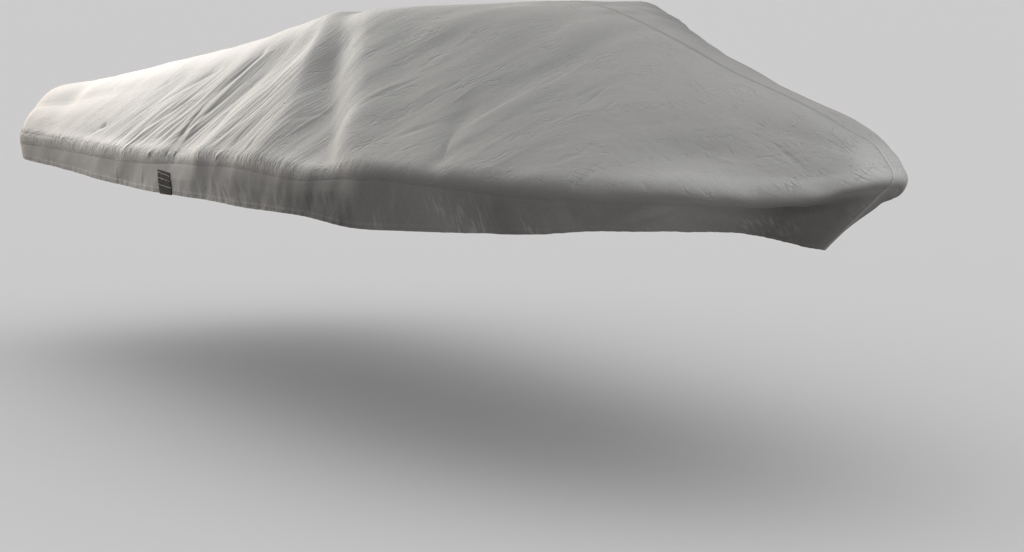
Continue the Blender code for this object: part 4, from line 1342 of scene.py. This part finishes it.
class BOATCOVER_OT_centre_seam(bpy.types.Operator):
    """Make the felled seam along the centreline, from the stern's hem over the top to the stem's hem."""

    bl_idname = "boat_cover.centre_seam"
    bl_label = "Centre seam"

    def execute(self, context):
        outer, inner, _, uvs = seam_skin()
        # the seam's cloth is the cover's cloth painted paler, a painted highlight
        seam = closed_sheet("centre_seam", outer, inner, 1, {"cloth": uvs, "pull": uvs}, True,
                            cloth_material("seam_cloth", PAINTED_SEAM_HIGHLIGHT))
        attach(seam, "root")
        return {"FINISHED"}


class BOATCOVER_OT_stitches(bpy.types.Operator):
    """Make the stitches of the centre seam, the gunwale seams and the hems."""

    bl_idname = "boat_cover.stitches"
    bl_label = "Stitches"

    def execute(self, context):
        proud = look("sewing").thread / 4
        outer, _, outward, _ = seam_skin()
        seam_stitches("seam_stitches", [outer[:, column] + outward * proud for column in STITCH_COLUMNS])
        for side_name in SIDES:
            top, skirt = (worked_skin(side_name, part) for part in ("top", "skirt"))
            lap_start = len(PART_ROWS["top"]) - 1 - ROW_STEPS["lap"]
            hem_start = len(PART_ROWS["skirt"]) - 1 - ROW_STEPS["hem"]
            for name, skin, rows in (
                ("gunwale_stitches_", top, [lap_start + step for step in GUNWALE_STITCH_STEPS]),
                ("hem_stitches_", skirt, [hem_start + HEM_STITCH_STEP]),
            ):
                raised = skin.outer + skin.outward * proud
                seam_stitches(name + side_name, [raised[1:-1, row] for row in rows])
        return {"FINISHED"}


# --- straps -----------------------------------------------------------------------------------------------

STRAP_X = (0.318, 0.442)  # where the patch starts and ends along the boat
STRAP_HEAD = (-0.742, -0.748)  # heights of the patch's upper corners, aft and forward
STRAP_DROP = 0.003  # how far the patch reaches below the hem
STRAP_SEAT = 0.0006
STRAP_THICK = 0.0016
STRAP_PUFF = 0.0004  # how far the webbing swells between two tacking rows
STRAP_GRID = (64, 72)
TACK_SHARES = (0.09, 0.33, 0.61)  # how far down the patch each tacking row starts, at its aft end
TACK_FALL = 0.07  # how much further down it is at its forward end
TACK_SLANT = np.radians(64)
TACK_SEED = 9
STRAP_CALM = 4  # grid lines over which the patch bridges the skirt's small puckers
STRAP_ON_HEM = 0.001  # how far above the hem's edge the patch looks for the cloth under its foot
PUFF_POWER, PUFF_END_POWER = 4, 12  # how squarely the swelling meets the tacking rows and the patch's ends


@lru_cache(maxsize=None)
def strap_skin(side_name):
    """Outer and inner grid of one side's webbing patch, forward by down, and their flat places."""
    side = SIDES[side_name]
    outward = np.array([0.0, side, 0.0])
    trees = [cloth_tree("skirt_cloth_" + side_name)]
    skirt = worked_skin(side_name, "skirt")
    hem = skirt.outer[:, -1]
    forward, down = (np.linspace(0, 1, count + 1) for count in STRAP_GRID)
    x = np.interp(forward, (0, 1), STRAP_X) - REST[0]
    head = np.interp(forward, (0, 1), STRAP_HEAD)
    foot = np.interp(x, hem[:, 0], hem[:, 2]) - STRAP_DROP
    z = head[:, None] + (foot - head)[:, None] * down
    reach = np.zeros(z.shape)
    for i, j in np.ndindex(z.shape):
        height = max(z[i, j], foot[i] + STRAP_DROP + STRAP_ON_HEM)
        point = np.array([x[i], np.interp(x[i], hem[:, 0], hem[:, 1]), height])
        reach[i, j] = point[1] + side * cloth_below(trees, point, outward)
    proud = nearby(nearby(reach * side, STRAP_CALM, np.max), STRAP_CALM, np.mean)
    inner = np.stack([np.broadcast_to(x[:, None], z.shape), side * (proud + STRAP_SEAT), z], -1)
    tack = np.array(TACK_SHARES) + TACK_FALL * forward[:, None]
    bounds = np.sort(np.concatenate([0 * forward[:, None], tack, 0 * forward[:, None] + 1], axis=1), axis=1)
    swell = np.zeros(z.shape)
    for i in range(len(forward)):
        band = np.clip(np.searchsorted(bounds[i], down, side="right") - 1, 0, len(TACK_SHARES))
        low, high = bounds[i][band], bounds[i][band + 1]
        middle = 2 * (down - low) / (high - low) - 1
        swell[i] = 1 - np.abs(middle) ** PUFF_POWER
    ends = 1 - np.abs(2 * forward - 1) ** PUFF_END_POWER
    rise = STRAP_THICK + STRAP_PUFF * swell * ends[:, None]
    outer = inner + outward * rise[..., None]
    uvs = np.stack(np.broadcast_arrays((x - x[0])[:, None], z - foot[:, None]), -1)
    return outer, inner, uvs


def tack_line(outer, share):
    """Points across the patch's outer grid, which start this share of the way down its aft end."""
    forward, down = (np.linspace(0, 1, count + 1) for count in STRAP_GRID)
    return np.array([
        [np.interp(share + TACK_FALL * ahead, down, column[:, axis]) for axis in range(3)]
        for ahead, column in zip(forward, outer)
    ])


class BOATCOVER_OT_straps(bpy.types.Operator):
    """Make the dark webbing patch on each side's skirt, with its tacking rows."""

    bl_idname = "boat_cover.straps"
    bl_label = "Webbing patches"

    def execute(self, context):
        strap = look("straps")
        sewing = look("sewing")
        thread = thread_material("tack_thread", strap.thread_colour)
        for side_name, side in SIDES.items():
            outer, inner, uvs = strap_skin(side_name)
            patch = closed_sheet("strap_webbing_" + side_name, outer, inner, 1, {"cloth": uvs, "pull": uvs},
                                 side < 0, webbing_material())
            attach(patch, "root")
            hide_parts("strap_" + side_name)
            proud = np.array([0, side * sewing.thread / 3, 0])
            rows = [tack_line(outer, share)[1:-1] + proud for share in TACK_SHARES]
            stitch_rows("strap_stitches_" + side_name, rows, thread, "webbing", **{
                "Pitch": strap.tack_pitch, "Stitch length": strap.tack_width,
                "Thread radius": sewing.thread / 2, "Slant": TACK_SLANT, "Facing": (0.0, float(side), 0.0),
                "Seed": TACK_SEED})
        return {"FINISHED"}


# --- stage ------------------------------------------------------------------------------------------------

LAMP_AIM = Vector((-1.0, 0.0, -0.4))
LAMPS = {  # place, size and colour
    "key": ((-3.0, -1.5, 1.5), 2.0, (0.985, 1.0, 0.99)),
    "front": ((6.0, 0.0, 2.2), 2.0, (0.95, 0.985, 1.0)),
    "stern": ((-12.0, -1.5, 1.6), 6.0, (1.0, 0.85, 0.71)),
}
FILL_COLOUR = (1.0, 0.985, 0.99, 1.0)
FLOOR_RADIUS = 150.0
FLOOR_SEGMENTS = 96
LENS = 105.47
CAMERA_PLACE = (9.8448, -5.7433, 0.422)
CAMERA_TURN = np.radians((82.67, 0.0, 61.07))


def soft_light(name, power, spared):
    """Large soft lamp aimed at the cover, which the pieces in the collection spared don't receive."""
    place, size, colour = LAMPS[name]
    lamp = bpy.data.lights.new(name + "_lamp", "AREA")
    lamp.shape = "SQUARE"
    lamp.size = size
    lamp.energy = power
    lamp.color = colour
    light = placed(name + "_lamp", lamp)
    light.location = place
    light.rotation_euler = (LAMP_AIM - Vector(place)).to_track_quat("-Z", "Y").to_euler()
    light.visible_camera = False
    light.light_linking.receiver_collection = spared


def make_floor(colour):
    mesh = bpy.data.meshes.new("floor")
    form = bmesh.new()
    bmesh.ops.create_circle(form, cap_ends=True, segments=FLOOR_SEGMENTS, radius=FLOOR_RADIUS)
    bmesh.ops.translate(form, verts=form.verts, vec=(0, 0, -REST[2]))
    form.to_mesh(mesh)
    form.free()
    mesh.materials.append(new_material("floor_paint", colour, 0.9)[0])
    floor = placed("floor", mesh)
    return floor


def make_fill(scene, strength):
    """Even light from all round."""
    world = bpy.data.worlds.new("studio")
    scene.world = world
    world.use_nodes = True
    background = world.node_tree.nodes["Background"]
    background.inputs["Color"].default_value = FILL_COLOUR
    background.inputs["Strength"].default_value = strength


class BOATCOVER_OT_stage(bpy.types.Operator):
    """Make the plain floor, the soft lights and the camera."""

    bl_idname = "boat_cover.stage"
    bl_label = "Stage"

    def execute(self, context):
        scene = context.scene
        stage = look("stage")
        floor = make_floor(stage.floor_colour)
        spared = bpy.data.collections.new("not_lamp_lit")
        spared.objects.link(floor)
        spared.collection_objects[0].light_linking.link_state = "EXCLUDE"
        for name in LAMPS:
            soft_light(name, getattr(stage, name + "_power"), spared)
        make_fill(scene, stage.fill)
        lens = bpy.data.cameras.new("camera")
        lens.lens = LENS
        lens.clip_end = 2 * FLOOR_RADIUS
        camera = placed("camera", lens)
        camera.location = CAMERA_PLACE
        camera.rotation_euler = CAMERA_TURN
        scene.camera = camera
        scene.view_settings.view_transform = "Standard"
        return {"FINISHED"}


class BOATCOVER_PT_sidebar(bpy.types.Panel):
    """Sizes, colours and steps of the boat cover."""

    bl_idname = "BOATCOVER_PT_sidebar"
    bl_label = "Boat cover"
    bl_space_type = "VIEW_3D"
    bl_region_type = "UI"
    bl_category = "Boat cover"

    def draw(self, context):
        for name, group in LOOKS.items():
            box = self.layout.box()
            box.label(text=name.capitalize())
            for field in group.__annotations__:
                box.prop(look(name), field)
        for operator in OPERATORS:
            self.layout.operator(operator.bl_idname)


OPERATORS = (
    BOATCOVER_OT_tops, BOATCOVER_OT_skirts, BOATCOVER_OT_centre_seam, BOATCOVER_OT_stitches,
    BOATCOVER_OT_straps, BOATCOVER_OT_stage,
)
CLASSES = (*LOOKS.values(), *OPERATORS, BOATCOVER_PT_sidebar)


def register():
    for cls in CLASSES:
        bpy.utils.register_class(cls)
    for name, group in LOOKS.items():
        setattr(bpy.types.Scene, "boat_cover_" + name, PointerProperty(type=group))


def unregister():
    for name in LOOKS:
        delattr(bpy.types.Scene, "boat_cover_" + name)
    for cls in reversed(CLASSES):
        bpy.utils.unregister_class(cls)


def declare_cloth():
    """List, for each side, the pieces sewn to its top and skirt; the lists are not used further."""
    for side_name in SIDES:
        sewn = {
            "top": ["gunwale_stitches_" + side_name],
            "skirt": [name + side_name for name in ("hem_stitches_", "strap_webbing_", "strap_stitches_")],
        }
        if side_name == "starboard":
            sewn["top"] += ["centre_seam", "seam_stitches"]


def main():
    register()
    bpy.ops.boat_cover.tops()
    bpy.ops.boat_cover.skirts()
    bpy.ops.boat_cover.centre_seam()
    bpy.ops.boat_cover.stitches()
    bpy.ops.boat_cover.straps()
    bpy.ops.boat_cover.stage()
    declare_cloth()


if __name__ == "__main__":
    main()
